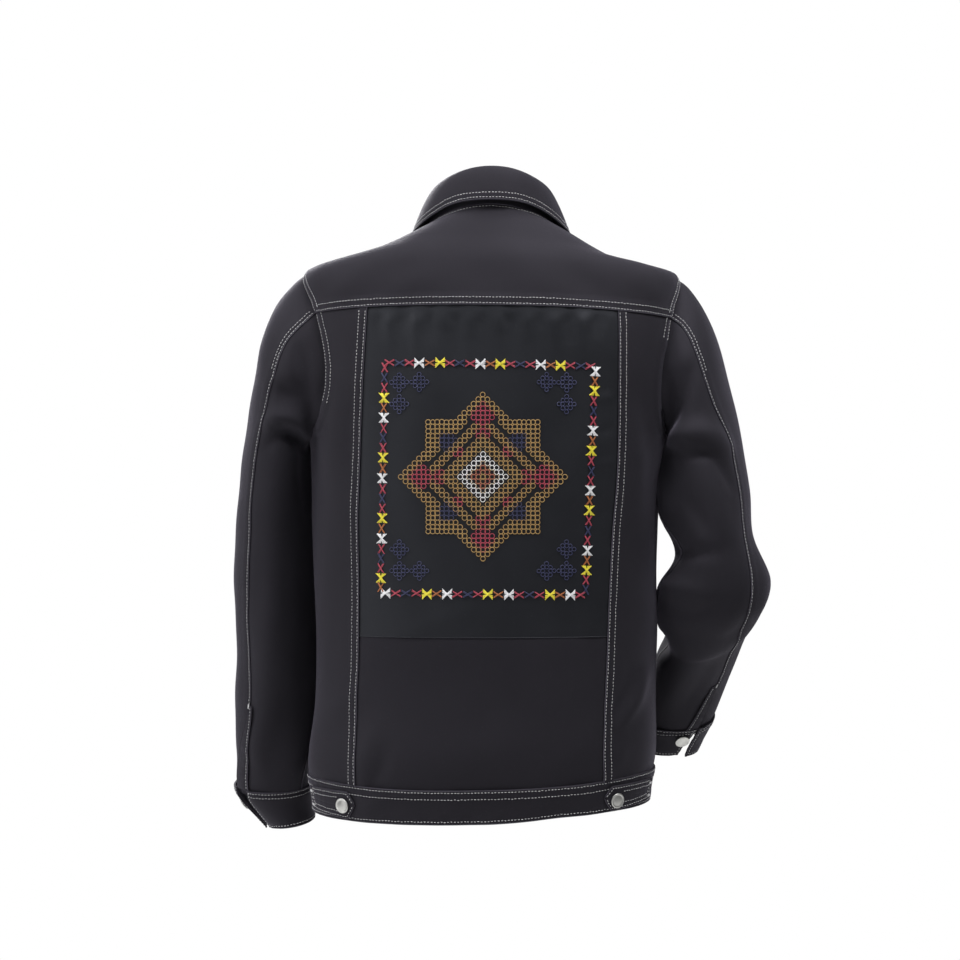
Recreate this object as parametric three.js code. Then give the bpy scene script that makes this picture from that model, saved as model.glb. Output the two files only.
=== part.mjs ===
// Trucker jacket in its worn, hollow form: front buttoned, left arm down, right arm bent to the hip.
// Millimetres, +Z up. The front faces -Y and the wearer's left is +X.
// The origin is the middle of the neck base, where the shoulders carry the jacket.
import * as THREE from 'three';

// ---- cloth ----
const gap = 0.3; // left between two pieces at a seam
const cloth = 1.5; // a single panel with its seam allowances
const doubled = 2.4; // collar, cuffs, waistband, tabs and front bands are sewn double

// ---- heights that the seams share ----
const hemZ = -666;
const waistSeamZ = -629;
const insertSeamZ = -461;
const underarmZ = -238;
const shoulderTipZ = -51;
const yokeTurn = 64; // degrees round the armhole, from the shoulder tip to the yoke seam
const yokeShare = (1 + Math.cos((yokeTurn * Math.PI) / 180)) / 2;
const yokeSideZ = underarmZ + yokeShare * (shoulderTipZ - underarmZ);

// ---- seams and fastenings ----
const bandHalf = 18; // half the width of the buttoned front band
const tipY = -9; // the shoulder seam lies just in front of the shoulder's ridge
const armholeBack = { left: 76, right: 66 }; // reach of the armhole behind the side seam
const armholeFront = 64; // and in front of it
const armholeEgg = 0.74; // under 1 sets the widest part of the armhole low
const overlapLift = 2.9; // how far the upper layer of a buttoned overlap stands out
const overlapRamp = 45; // over how wide a strip it rises
const buttonRadius = 8.5;
const buttonHeight = 4;
const frontButtons = 6;
const collarEnd = 0.5; // each collar end stops at this share of the half band

function table(columns, rows) {
  return rows.map((row) => Object.fromEntries(columns.map((name, i) => [name, row[i]])));
}

// Level rows of the body, from the hem up to the neck seam. Each is a rounded, squarish ring. shift
// moves it sideways, tilt lifts the wearer's left, and the long back seams lie at seamX each side of
// the centre back, which sways off the ring's middle.
const levels = table(
  ['level', 'zBack', 'zSide', 'zFront', 'halfWidth', 'backDepth', 'frontDepth', 'square', 'shift', 'tilt',
    'seamX', 'sway'],
  [
    ['hem', hemZ, hemZ + 6, hemZ + 6, 192, 112, 112, 2.4, 12, -0.02, 137.5, 2],
    ['waist seam', waistSeamZ, waistSeamZ + 11, waistSeamZ + 11, 198, 116, 117, 2.4, 12, -0.02, 137.5, 2],
    ['blouse', -594, -588, -588, 199, 119, 119, 2.4, 10.5, -0.015, 137.5, 4],
    ['low back', -540, -537, -536, 195, 116, 115, 2.4, 7, -0.008, 137.5, 6],
    ['insert seam', insertSeamZ, insertSeamZ, -459, 195, 114, 112, 2.4, 7, 0, 138, 3],
    ['mid back', -356, -356, -352, 198, 115, 116, 2.45, 8, 0, 140.5, 0],
    ['chest', -292, -292, -286, 200, 118, 120, 2.5, 6, 0, 142.5, -1],
    ['underarm', -240, underarmZ, -232, 204, 119, 121, 2.55, 4, 0, 142.5, -1],
    ['blade', -166, -166, -166, 209, 118, 118, 2.6, 2, 0.006, 141, -1],
    ['yoke seam', -94.5, yokeSideZ, -118, 212, 112, 109, 2.6, 1, 0.012, 139, -2],
    ['shoulder tip', -45, shoulderTipZ, -95, 211, 101, 98, 2.5, 0.5, 0.009, 136, 0],
    ['mid shoulder', -12, -34.5, -84, 146, 86, 90, 2.25, 0.5, 0.026, 96, 0],
    ['neck seam', 22, 1, -68, 73, 70, 84, 2.05, 1, 0, 48, 0],
  ],
);
const row = Object.fromEntries(levels.map((level, i) => [level.level, i]));

// Collar fold ring, over the neck seam, and where the leaf's edge lies: a station every 30 degrees
// gives the edge's own turn and level on the body, and how far it stands off.
const foldRing = {
  zBack: 65, zSide: 49, zFront: -40, halfWidth: 63, backDepth: 66, frontDepth: 82, square: 2.05, shift: 1,
  tilt: 0,
};
const leafEdge = table(
  ['turn', 'level', 'lift'],
  [
    [0, 12, 10],
    [30, 11.97, 8.5],
    [60, 11.84, 6],
    [90, 11.72, 4],
    [119, 11.6, 4],
    [142, 11.35, 4],
    [158, 11.0, 4.5],
  ],
);

// Sleeve sections, from the armhole to the cuff's edge: the points of the outer and inner lines,
// half the size from front to back, and the degrees that the seams roll back round the sleeve.
const sleeveColumns = ['outerX', 'outerY', 'outerZ', 'innerX', 'innerY', 'innerZ', 'halfDepth', 'roll'];
const leftArm = table(sleeveColumns, [
  [211.5, tipY, shoulderTipZ + 2, 208, 0, underarmZ, 72, 0],
  [227, -5, -62, 210, -1, -241, 73, 2],
  [248, -4, -87, 211, -3, -245, 73, 6],
  [261, -5, -121, 211, -5, -251, 72, 12],
  [270.5, -7, -165, 210, -8, -262, 70, 9],
  [281, -9, -216, 209.5, -11, -284, 67, 2],
  [290, -12, -272, 209, -14, -318, 64, -2],
  [297, -15, -340, 208.5, -18, -362, 61, -5],
  [299, -19, -408, 207, -23, -415, 59, -10],
  [297, -24, -474, 206.5, -28, -476, 56, -13],
  [298, -31, -542, 209, -34, -542, 51, -10],
  [298, -39, -604, 212.5, -42, -604, 46, -35],
  [297, -46, -650, 212, -49, -650, 43, -40],
  [262, -50, -689, 209, -52, -682, 40, -44],
]);
const rightArm = table(sleeveColumns, [
  [-210.5, tipY, shoulderTipZ - 2, -200, 0, underarmZ, 72, 0],
  [-226, -3, -66, -203, 0, -241, 73, -1],
  [-246, 2, -97, -205, 1, -245, 73, 1],
  [-263, 7, -138, -205, 3, -253, 72, 0],
  [-274.5, 13, -190, -203, 6, -270, 69, -8],
  [-285, 20, -242, -200, 10, -300, 66, -23],
  [-292, 27, -297, -197, 15, -334, 63, -29],
  [-295, 34, -349, -208, 20, -374, 61, -31],
  [-313, 42, -402, -191, 6, -410, 60, -24],
  [-305, 28, -440, -192, -16, -436, 58, -24],
  [-291, 6, -472, -203, -44, -462, 55, -34],
  [-270, -28, -520, -194, -80, -504, 49, -46],
  [-256, -66, -574, -176, -118, -560, 43, -37],
  [-240, -90, -606, -168, -134, -590, 41, -28],
]);
const cuffStart = leftArm.length - 2;

// Largest folds of the sleeves. Each is a soft ridge, or trough where its height is under 0, along
// the line between two points.
const foldColumns = ['x1', 'y1', 'z1', 'x2', 'y2', 'z2', 'width', 'height'];
const leftFolds = table(foldColumns, [
  [262, 40, -216, 214, 52, -247, 15, 5],
  [256, 52, -246, 216, 48, -272, 13, -4],
  [214, -40, -262, 262, -62, -228, 16, 4],
]);
const rightFolds = table(foldColumns, [
  [-214, 62, -230, -256, 62, -202, 15, 5],
  [-210, 60, -262, -246, 70, -226, 13, -4],
  [-204, 48, -392, -262, 78, -408, 12, 4],
  [-206, 30, -436, -262, 48, -430, 11, -4],
]);

// ---- general shape functions ----
const radians = (degrees) => (degrees * Math.PI) / 180;
const degrees = (angle) => (angle * 180) / Math.PI;
const mix = (a, b, f) => a + (b - a) * f;
const smooth = (f) => f * f * (3 - 2 * f);
const clamp = (value, low, high) => Math.min(Math.max(value, low), high);

function steps(from, to, count) {
  return Array.from({ length: count + 1 }, (_, i) => mix(from, to, i / count));
}

// A row between the rows of a table, on a curve through all of them.
function between(rows, at) {
  const last = rows.length - 1;
  const i = clamp(Math.floor(at), 0, last - 1);
  const f = at - i;
  const pick = (k) => rows[clamp(k, 0, last)];
  const mixed = {};
  for (const name of Object.keys(rows[0]).filter((key) => typeof rows[0][key] === 'number')) {
    const [a, b, c, d] = [pick(i - 1), pick(i), pick(i + 1), pick(i + 2)].map((one) => one[name]);
    const curve = 2 * a - 5 * b + 4 * c - d + f * (3 * (b - c) + d - a);
    mixed[name] = b + 0.5 * f * (c - a + f * curve);
  }
  return mixed;
}

function ringPoint(ring, turn) {
  const side = Math.sin(radians(turn));
  const along = Math.cos(radians(turn));
  const power = 2 / ring.square;
  const depth = along > 0 ? ring.backDepth : ring.frontDepth;
  const endZ = along > 0 ? ring.zBack : ring.zFront;
  const point = new THREE.Vector3(
    ring.shift + ring.halfWidth * Math.sign(side) * Math.abs(side) ** power,
    depth * Math.sign(along) * Math.abs(along) ** power,
    ring.zSide + (endZ - ring.zSide) * along * along,
  );
  point.z += ring.tilt * point.x;
  return point;
}

// The turn at which a ring is this far to the side, on the back or on the front.
function turnAtX(ring, x, onFront = false) {
  const share = clamp(Math.abs(x) / ring.halfWidth, 0, 1) ** (ring.square / 2);
  const turn = Math.sign(x) * degrees(Math.asin(share));
  return onFront ? 180 - turn : turn;
}

// The turn at which a ring is this far behind its side, or in front where y is under 0.
function turnAtY(ring, y) {
  const depth = y > 0 ? ring.backDepth : ring.frontDepth;
  const turn = degrees(Math.acos((Math.abs(y) / depth) ** (ring.square / 2)));
  return y > 0 ? turn : 180 - turn;
}

// A point of a sheet with its outward direction, from the sheet's own function.
function sheetPoint(surface, across, along, facing, step = 0.02) {
  const point = surface(across, along);
  const stepAcross = surface(across + 0.4, along).sub(surface(across - 0.4, along));
  const stepAlong = surface(across, along + step).sub(surface(across, along - step));
  return { point, out: stepAlong.cross(stepAcross).normalize().multiplyScalar(facing) };
}

function moveOut(spot, distance) {
  return { point: spot.point.clone().addScaledVector(spot.out, distance), out: spot.out };
}

function spotBetween(a, b, f) {
  return { point: a.point.clone().lerp(b.point, f), out: a.out.clone().lerp(b.out, f).normalize() };
}

// A spot on the facet between four spots of a grid, square to that facet.
function facetSpot(grid, column, line, f, g) {
  const [a, b] = [grid[column][line], grid[column + 1][line]];
  const [c, d] = [grid[column][line + 1], grid[column + 1][line + 1]];
  const spot = spotBetween(spotBetween(a, b, f), spotBetween(c, d, f), g);
  const out = d.point.clone().sub(a.point).cross(c.point.clone().sub(b.point)).normalize();
  return { point: spot.point, out: out.multiplyScalar(Math.sign(out.dot(spot.out))) };
}

// A closed wall on a grid of spots: grid[i][j] lies on its outer face. Its edges draw back by half
// a seam gap.
function wallGeometry(grid, thickness) {
  const last = grid.length - 1;
  const end = grid[0].length - 1;
  const drawBack = (from, to) => to.point.clone().sub(from.point).setLength(gap / 2);
  const outer = grid.map((line, i) => line.map((spot, j) => {
    const point = spot.point.clone();
    if (i === 0) point.add(drawBack(spot, grid[1][j]));
    if (i === last) point.add(drawBack(spot, grid[last - 1][j]));
    if (j === 0) point.add(drawBack(spot, grid[i][1]));
    if (j === end) point.add(drawBack(spot, grid[i][end - 1]));
    return point;
  }));
  const inner = outer.map((line, i) => line.map((point, j) => {
    return point.clone().addScaledVector(grid[i][j].out, -thickness);
  }));
  const positions = [...outer.flat(), ...inner.flat()].flatMap((point) => point.toArray());
  const outerAt = (i, j) => i * (end + 1) + j;
  const innerAt = (i, j) => outer.length * (end + 1) + outerAt(i, j);
  const faces = [];
  const quad = (a, b, c, d) => faces.push([a, b, c], [a, c, d]);
  for (let i = 0; i < last; i += 1) {
    for (let j = 0; j < end; j += 1) {
      quad(outerAt(i, j), outerAt(i + 1, j), outerAt(i + 1, j + 1), outerAt(i, j + 1));
      quad(innerAt(i, j), innerAt(i, j + 1), innerAt(i + 1, j + 1), innerAt(i + 1, j));
    }
  }
  for (let i = 0; i < last; i += 1) {
    quad(outerAt(i, 0), innerAt(i, 0), innerAt(i + 1, 0), outerAt(i + 1, 0));
    quad(outerAt(i, end), outerAt(i + 1, end), innerAt(i + 1, end), innerAt(i, end));
  }
  for (let j = 0; j < end; j += 1) {
    quad(outerAt(0, j), outerAt(0, j + 1), innerAt(0, j + 1), innerAt(0, j));
    quad(outerAt(last, j), innerAt(last, j), innerAt(last, j + 1), outerAt(last, j + 1));
  }
  const middle = grid[Math.floor(last / 2)];
  const here = Math.floor(end / 2);
  const [a, b, c] = [middle[here], grid[Math.floor(last / 2) + 1][here], middle[here + 1]];
  const towards = b.point.clone().sub(a.point).cross(c.point.clone().sub(a.point)).dot(a.out);
  const geometry = new THREE.BufferGeometry();
  geometry.setAttribute('position', new THREE.Float32BufferAttribute(positions, 3));
  geometry.setIndex(faces.flatMap((face) => (towards > 0 ? face : [face[0], face[2], face[1]])));
  geometry.computeVertexNormals();
  return geometry;
}

// ---- finishes ----
const finish = (color, roughness, metalness = 0) => {
  return new THREE.MeshStandardMaterial({ color, roughness, metalness });
};
const twill = finish(0x26252a, 0.85);
const satin = finish(0x15181b, 0.5);
const metal = finish(0xb4b4b0, 0.35, 1);

const group = new THREE.Group();

function addPiece(name, geometry, material) {
  const mesh = new THREE.Mesh(geometry, material);
  mesh.name = name;
  group.add(mesh);
  return mesh;
}

function addWall(name, grid, thickness = cloth, material = twill) {
  return addPiece(name, wallGeometry(grid, thickness), material);
}

// ---- body panels ----
const levelAt = (at) => between(levels, at);

// The upper layer of the overlap rises before the centre front, on the wearer's left.
function overlapRise(point, turn) {
  if (turn < 90) return 0;
  const past = turn > 180 ? bandHalf : Math.max(point.x, bandHalf);
  return overlapLift * smooth(clamp((bandHalf + overlapRamp - past) / overlapRamp, 0, 1));
}

function bodyPoint(turn, at) {
  return ringPoint(levelAt(at), turn);
}

function bodySpot(turn, at, lift = 0) {
  return moveOut(sheetPoint(bodyPoint, turn, at, 1), lift);
}

function upperSpot(turn, at, lift = 0) {
  const spot = bodySpot(turn, at);
  return moveOut(spot, lift + overlapRise(spot.point, turn));
}

function levelOfSide(z) {
  let low = row.underarm;
  let high = row['shoulder tip'];
  for (let i = 0; i < 40; i += 1) {
    const middle = (low + high) / 2;
    if (levelAt(middle).zSide < z) low = middle;
    else high = middle;
  }
  return (low + high) / 2;
}

// The armhole is an egg-shaped loop. Its turn runs from the shoulder tip over the back.
const armholeShare = (turn) => (1 + Math.cos(radians(turn))) / 2;

function armholeSpot(turn, side) {
  const share = armholeShare(turn);
  const at = levelOfSide(mix(underarmZ, shoulderTipZ, share));
  const reach = Math.sqrt(clamp(1 - (2 * share ** armholeEgg - 1) ** 2, 0, 1));
  const behind = Math.sin(radians(turn)) >= 0;
  const back = side > 0 ? armholeBack.left : armholeBack.right;
  const y = tipY * share + (behind ? back : -armholeFront) * reach;
  return { at, turn: side * turnAtY(levelAt(at), y) };
}

const armholeTurns = [...steps(180, yokeTurn, 6), ...steps(yokeTurn, 0, 3).slice(1)];
const armholeBackEdge = (side) => armholeTurns.map((turn) => armholeSpot(turn, side));
const armholeFrontEdge = (side) => armholeTurns.map((turn) => armholeSpot(360 - turn, side));
const yokeIndex = armholeTurns.indexOf(yokeTurn);
const yokeAt = armholeBackEdge(1)[yokeIndex].at;

const bandRows = steps(row.hem, row['waist seam'], 2);
const lowerRows = [1, 1.5, 2, 3, 4];
const middleRows = [4, 5, 6, 7];
const shoulderRows = steps(row['shoulder tip'], row['neck seam'], 4);

// A line of the body: the row's place on the way up, and the turn of its panel's outer edge.
const plainEdge = (side) => (at) => ({ at, turn: side * 90 });
const shoulderEdge = (side) => (at) => ({ at, turn: side * turnAtY(levelAt(at), tipY) });
const sideLines = (side) => middleRows.slice(0, -1).map(plainEdge(side));
const backLines = (side) => [...sideLines(side), ...armholeBackEdge(side).slice(0, yokeIndex + 1)];
const frontLines = (side) => [
  ...lowerRows.slice(0, -1).map(plainEdge(side)), ...sideLines(side),
  ...armholeFrontEdge(side).slice(0, -1), ...shoulderRows.map(shoulderEdge(side)),
];

function seamTurn(at, share) {
  const level = levelAt(at);
  return turnAtX(level, level.sway + share * level.seamX);
}

function bandTurn(at, share) {
  const half = 180 - turnAtX(levelAt(at), bandHalf, true);
  return 180 - share * half;
}

const insertColumns = 8;
const sideColumns = 4;
const frontColumns = 8;
const bandShares = [1, collarEnd, 0, -collarEnd, -1];

// Each column of the yoke keeps its share of the way from the centre to the armhole, up to the neck.
function yokeShares(side) {
  const [centre, seam] = [0, side].map((share) => seamTurn(yokeAt, share));
  const edge = armholeBackEdge(side)[yokeIndex].turn;
  const inner = steps(0, 1, insertColumns / 2).map((share) => seamTurn(yokeAt, side * share));
  const outer = steps(0, 1, sideColumns).slice(1).map((share) => mix(seam, edge, share));
  return [...inner, ...outer].map((turn) => (turn - centre) / (edge - centre));
}

function addBack() {
  const insertGrid = (rows) => steps(-1, 1, insertColumns).map((share) => {
    return rows.map((at) => bodySpot(seamTurn(at, share), at));
  });
  addWall('back_insert', insertGrid(backLines(1).map((line) => line.at)), cloth, satin);
  addWall('back_lower', insertGrid(lowerRows));
  for (const [side, name] of [[1, 'left'], [-1, 'right']]) {
    const lines = [...lowerRows.slice(0, -1).map(plainEdge(side)), ...backLines(side)];
    addWall(`back_side_${name}`, steps(0, 1, sideColumns).map((share) => lines.map((line) => {
      return bodySpot(mix(seamTurn(line.at, side), line.turn, share), line.at);
    })));
  }
  const yokeColumn = (side) => (share) => {
    const lines = [
      ...armholeBackEdge(side).slice(yokeIndex, -1), ...shoulderRows.map(shoulderEdge(side)),
    ];
    return lines.map((line) => {
      const centre = seamTurn(yokeAt, 0) * clamp(1 - line.at + yokeAt, 0, 1);
      return bodySpot(mix(centre, line.turn, share), line.at);
    });
  };
  addWall('back_yoke', [
    ...yokeShares(-1).slice(1).reverse().map(yokeColumn(-1)), ...yokeShares(1).map(yokeColumn(1)),
  ]);
}

function addFront() {
  for (const [side, name, spot] of [[1, 'left', upperSpot], [-1, 'right', bodySpot]]) {
    const lines = frontLines(side);
    addWall(`front_${name}`, steps(0, 1, frontColumns).map((share) => lines.map((line) => {
      return spot(mix(line.turn, side * bandTurn(line.at, 1), share), line.at);
    })));
    const band = bandShares.map((share) => lines.map((line) => {
      return spot(side * bandTurn(line.at, share), line.at);
    }));
    addWall(`front_band_${name}`, band);
    if (side > 0) addFrontButtons(band[bandShares.indexOf(0)]);
  }
}

// ---- waistband and its tabs ----
const bandLift = 0.8;
const halfPlan = (side) => [
  ...steps(0, 1, insertColumns / 2).map((share) => (at) => seamTurn(at, side * share)),
  ...steps(0, 1, sideColumns).slice(1).map((share) => (at) => mix(seamTurn(at, side), side * 90, share)),
  ...steps(0, 1, frontColumns).slice(1).map((share) => (at) => side * mix(90, bandTurn(at, 1), share)),
  ...bandShares.slice(1).map((share) => (at) => side * bandTurn(at, share)),
];
const bandSpot = (turn, at) => (turn > 0 ? upperSpot(turn, at, bandLift) : bodySpot(turn, at, bandLift));

function bandLine(turnOf) {
  return bandRows.map((at) => bandSpot(turnOf(at), at));
}

function addWaistband() {
  const plan = [...halfPlan(-1).slice(1).reverse(), ...halfPlan(1)];
  addWall('waistband', plan.map(bandLine), doubled);
}

// A tab lies on the waistband from near the side seam to the long back seam, and ends in a point.
const tabShape = table(['along', 'low', 'high'], [
  [0.02, 0.46, 0.58],
  [0.28, 0.1, 0.82],
  [1, 0.14, 0.8],
  [2, 0.2, 0.78],
  [2.85, 0.26, 0.76],
]);

function tabSpot(side, along, across) {
  const column = insertColumns / 2 + Math.floor(along);
  const lines = halfPlan(side).slice(column, column + 2).map(bandLine);
  const half = across < 0.5 ? 0 : 1;
  return facetSpot(lines, 0, half, along - Math.floor(along), across * 2 - half);
}

function addTabs() {
  for (const [side, name] of [[1, 'left'], [-1, 'right']]) {
    const grid = tabShape.map(({ along, low, high }) => [low, 0.5, high].map((across) => {
      return moveOut(tabSpot(side, along, across), gap + doubled);
    }));
    addWall(`hem_tab_${name}`, grid, doubled);
    addButton(`hem_button_${name}`, moveOut(tabSpot(side, 0.5, 0.48), gap + doubled));
  }
}

// ---- collar ----
const neckAt = row['neck seam'];
const shoulderTurn = shoulderEdge(1)(neckAt).turn;
const halfNeck = (side) => [
  ...yokeShares(side).slice(1).map((share) => share * shoulderTurn),
  ...steps(0, 1, frontColumns).slice(1).map((share) => mix(shoulderTurn, bandTurn(neckAt, 1), share)),
  bandTurn(neckAt, collarEnd),
];
const collarTurns = [...halfNeck(-1).reverse().map((turn) => -turn), 0, ...halfNeck(1)];
const standLean = 1.8; // the stand's top lies this far inside the fold
const foldCover = 2.6; // and the leaf starts this far inside it
const leafRoll = 0.25; // how round the fold is, as a share of the leaf's reach, and at least:
const leafRollLeast = 2.5;

function foldPoint(turn, inside) {
  const fold = ringPoint(foldRing, turn);
  const outward = new THREE.Vector3(fold.x - foldRing.shift, fold.y, 0).normalize();
  return { fold: fold.addScaledVector(outward, -inside), outward };
}

function standPoint(turn, up) {
  const neck = ringPoint(levels[neckAt], turn);
  const { fold } = foldPoint(turn, standLean);
  const run = foldPoint(turn + 1, standLean).fold.sub(foldPoint(turn - 1, standLean).fold);
  fold.z -= (doubled + 1.5 * gap) * run.length() / Math.hypot(run.x, run.y);
  return neck.lerp(fold, up);
}

function leafPoint(turn, down) {
  const station = between(leafEdge, Math.abs(turn) / 30);
  const edge = bodySpot(Math.sign(turn || 1) * station.turn, station.level, station.lift).point;
  const { fold, outward } = foldPoint(turn, foldCover);
  const reach = Math.hypot(edge.x - fold.x, edge.y - fold.y);
  const roll = fold.clone().addScaledVector(outward, leafRoll * reach + leafRollLeast + foldCover);
  return fold.multiplyScalar((1 - down) ** 2).addScaledVector(roll, 2 * down * (1 - down))
    .addScaledVector(edge, down * down);
}

function addCollar() {
  addWall('collar_stand', collarTurns.map((turn) => [0, 0.5, 1].map((up) => {
    return sheetPoint(standPoint, turn, up, 1);
  })), doubled);
  addWall('collar_leaf', collarTurns.map((turn) => [0, 0.15, 0.35, 0.65, 1].map((down) => {
    return sheetPoint(leafPoint, turn, down, -1);
  })), doubled);
}

// ---- sleeves ----
const capEnd = 5; // the sleeve's head takes the armhole's own outline up to this section
const sleeveStep = 0.25; // of a section, over which the sleeve's direction is read

function foldRise(folds, point) {
  let rise = 0;
  for (const fold of folds) {
    const start = new THREE.Vector3(fold.x1, fold.y1, fold.z1);
    const end = new THREE.Vector3(fold.x2, fold.y2, fold.z2);
    const nearest = new THREE.Line3(start, end).closestPointToPoint(point, true, new THREE.Vector3());
    rise += fold.height * Math.exp(-((nearest.distanceTo(point) / fold.width) ** 2));
  }
  return rise;
}

function sleeveRing(arm, side, at, turn) {
  const ends = (where) => {
    const section = between(arm, where);
    return [
      new THREE.Vector3(section.outerX, section.outerY, section.outerZ),
      new THREE.Vector3(section.innerX, section.innerY, section.innerZ),
      section,
    ];
  };
  const middle = ([outer, inner]) => outer.clone().add(inner).multiplyScalar(0.5);
  const [outer, inner, { halfDepth, roll }] = ends(at);
  const direction = middle(ends(at + 0.1)).sub(middle(ends(at - 0.1)));
  direction.y *= clamp(at / capEnd, 0, 1); // the head's sections all face straight back
  const across = outer.clone().sub(inner).multiplyScalar(0.5);
  const backward = across.clone().cross(direction).setLength(halfDepth * side);
  return middle([outer, inner]).addScaledVector(across, Math.cos(radians(turn + roll)))
    .addScaledVector(backward, Math.sin(radians(turn + roll)));
}

function makeSleeve(arm, side, folds) {
  const loopSpot = (turn) => {
    const edge = armholeSpot(((turn % 360) + 360) % 360, side);
    const spot = bodySpot(edge.turn, edge.at);
    spot.point.x += side * gap;
    return spot;
  };
  const smoothPoint = (turn, at) => {
    const hold = (1 - clamp(at / capEnd, 0, 1)) ** 2;
    const correction = loopSpot(turn).point.sub(sleeveRing(arm, side, 0, turn));
    return sleeveRing(arm, side, at, turn).addScaledVector(correction, hold);
  };
  return (turn, at, lift = 0) => {
    const spot = sheetPoint(smoothPoint, turn, Math.max(at, sleeveStep), side, sleeveStep);
    spot.point = smoothPoint(turn, at);
    if (at === 0) spot.out.add(loopSpot(turn).out).normalize();
    const fade = clamp(at / capEnd, 0, 1) * clamp(cuffStart - at, 0, 1);
    return moveOut(spot, lift + fade * foldRise(folds, spot.point));
  };
}

const sleeveRows = [0, 0.5, 1, 1.5, 2, 3, 4, 5, 6, 7, 8, 9, 10, 10.5, 11, cuffStart];

// A placket backs each sleeve's opening. It lies on the under sleeve, and widens down its last rows
// by these shares of one column.
const placketWidths = { left: [0.3, 0.55, 0.8, 1], right: [0.4, 1] };

// The cuffs hang open at the back seam. Each row gives, for the upper edge, the middle and the lower
// edge, how far the under end stays back, how far the upper end runs past the seam, in degrees, and
// how far it stands out.
const cuffShape = {
  left: table(['at', 'back', 'past', 'lift'], [
    [cuffStart, 26, -1, 0.6], [cuffStart + 0.5, 20, -1, 1.8], [cuffStart + 1, 12, -2, 3.4],
  ]),
  right: table(['at', 'back', 'past', 'lift'], [
    [cuffStart, 6, -4, 0.6], [cuffStart + 0.5, 4, -7, 2.4], [cuffStart + 1, 1, -11, 5],
  ]),
};
const cuffLift = 1.1;
const cuffColumns = 18;

function addSleeve(name, arm, side, folds) {
  const spotAt = makeSleeve(arm, side, folds);
  const column = (turn) => sleeveRows.map((at) => spotAt(turn, at));
  const downBack = armholeTurns.slice(yokeIndex).reverse();
  const under = armholeTurns.slice(0, yokeIndex + 1).reverse().map(column);
  addWall(`sleeve_${name}_upper`, [...armholeTurns.map((turn) => -turn), ...downBack.slice(1)].map(column));
  addWall(`sleeve_${name}_under`, under);

  const widths = placketWidths[name];
  const placket = [0, 1].map((share) => widths.map((width, j) => {
    const line = sleeveRows.length - widths.length + j;
    return moveOut(spotBetween(under[0][line], under[1][line], share * width), 3 * gap + cloth);
  }));
  addWall(`sleeve_${name}_placket`, placket, cloth);

  const cuff = steps(0, 1, cuffColumns).map((share) => cuffShape[name].map(({ at, back, past, lift }) => {
    const turn = mix(yokeTurn + back, yokeTurn + 360 + past, share);
    const rise = smooth(clamp((share - 0.8) / 0.15, 0, 1));
    return spotAt(turn, at, mix(cuffLift, lift + cuffLift, rise));
  }));
  addWall(`cuff_${name}`, cuff, doubled);
  const buttonColumn = name === 'left' ? cuffColumns - 2 : 0;
  addButton(`cuff_button_${name}`, moveOut(facetSpot(cuff, buttonColumn, 0, 0.5, 0.6), gap));
}

// ---- buttons ----
function addButton(name, spot) {
  const profile = [
    [0, 0], [buttonRadius, 0], [buttonRadius, 0.55 * buttonHeight], [0.86 * buttonRadius, buttonHeight],
    [0.6 * buttonRadius, 0.86 * buttonHeight], [0, 0.86 * buttonHeight],
  ].map(([radius, height]) => new THREE.Vector2(radius, height));
  const geometry = new THREE.LatheGeometry(profile, 14);
  const button = addPiece(name, geometry, metal);
  button.quaternion.setFromUnitVectors(new THREE.Vector3(0, 1, 0), spot.out);
  button.position.copy(moveOut(spot, gap + 0.1).point);
}

// The front buttons stand on the middle line of the upper band, the lowest on the waistband.
function addFrontButtons(line) {
  const waist = [0, 1].map((k) => bandSpot(180, bandRows[k]));
  const column = [...waist, ...line.slice(1)];
  steps(hemZ + 22, -94, frontButtons - 1).forEach((z, i) => {
    const next = column.findIndex((spot) => spot.point.z > z);
    const [low, high] = [column[next - 1].point, column[next].point];
    const out = new THREE.Vector3(1, 0, 0).cross(high.clone().sub(low)).normalize();
    const point = low.clone().lerp(high, (z - low.z) / (high.z - low.z));
    addButton(`front_button_${i + 1}`, { point, out });
  });
}

addBack();
addFront();
addWaistband();
addTabs();
addCollar();
addSleeve('left', leftArm, 1, leftFolds);
addSleeve('right', rightArm, -1, rightFolds);

export default group;
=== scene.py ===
# Trucker jacket in its worn, hollow form: black twill with a satin back insert, embroidered by hand,
# topstitched in light thread. Lengths are millimetres until a mesh is made.
import math
from itertools import product
import bpy
import numpy as np
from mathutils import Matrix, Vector


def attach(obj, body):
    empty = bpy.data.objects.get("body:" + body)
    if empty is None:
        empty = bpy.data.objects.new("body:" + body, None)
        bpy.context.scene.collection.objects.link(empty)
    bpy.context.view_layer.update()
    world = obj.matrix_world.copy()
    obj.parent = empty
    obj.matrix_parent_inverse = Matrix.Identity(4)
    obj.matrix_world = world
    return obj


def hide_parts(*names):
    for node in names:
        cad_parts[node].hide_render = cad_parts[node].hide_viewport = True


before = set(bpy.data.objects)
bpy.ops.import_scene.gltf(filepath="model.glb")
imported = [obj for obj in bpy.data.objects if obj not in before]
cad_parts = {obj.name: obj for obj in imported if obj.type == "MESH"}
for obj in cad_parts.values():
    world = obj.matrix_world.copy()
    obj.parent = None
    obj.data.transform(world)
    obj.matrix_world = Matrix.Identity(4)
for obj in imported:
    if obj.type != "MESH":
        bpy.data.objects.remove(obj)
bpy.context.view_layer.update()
scene = bpy.context.scene
print("frame loaded")


def addObject(name, data):
    thing = bpy.data.objects.new(name, data)
    scene.collection.objects.link(thing)
    return thing


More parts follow.
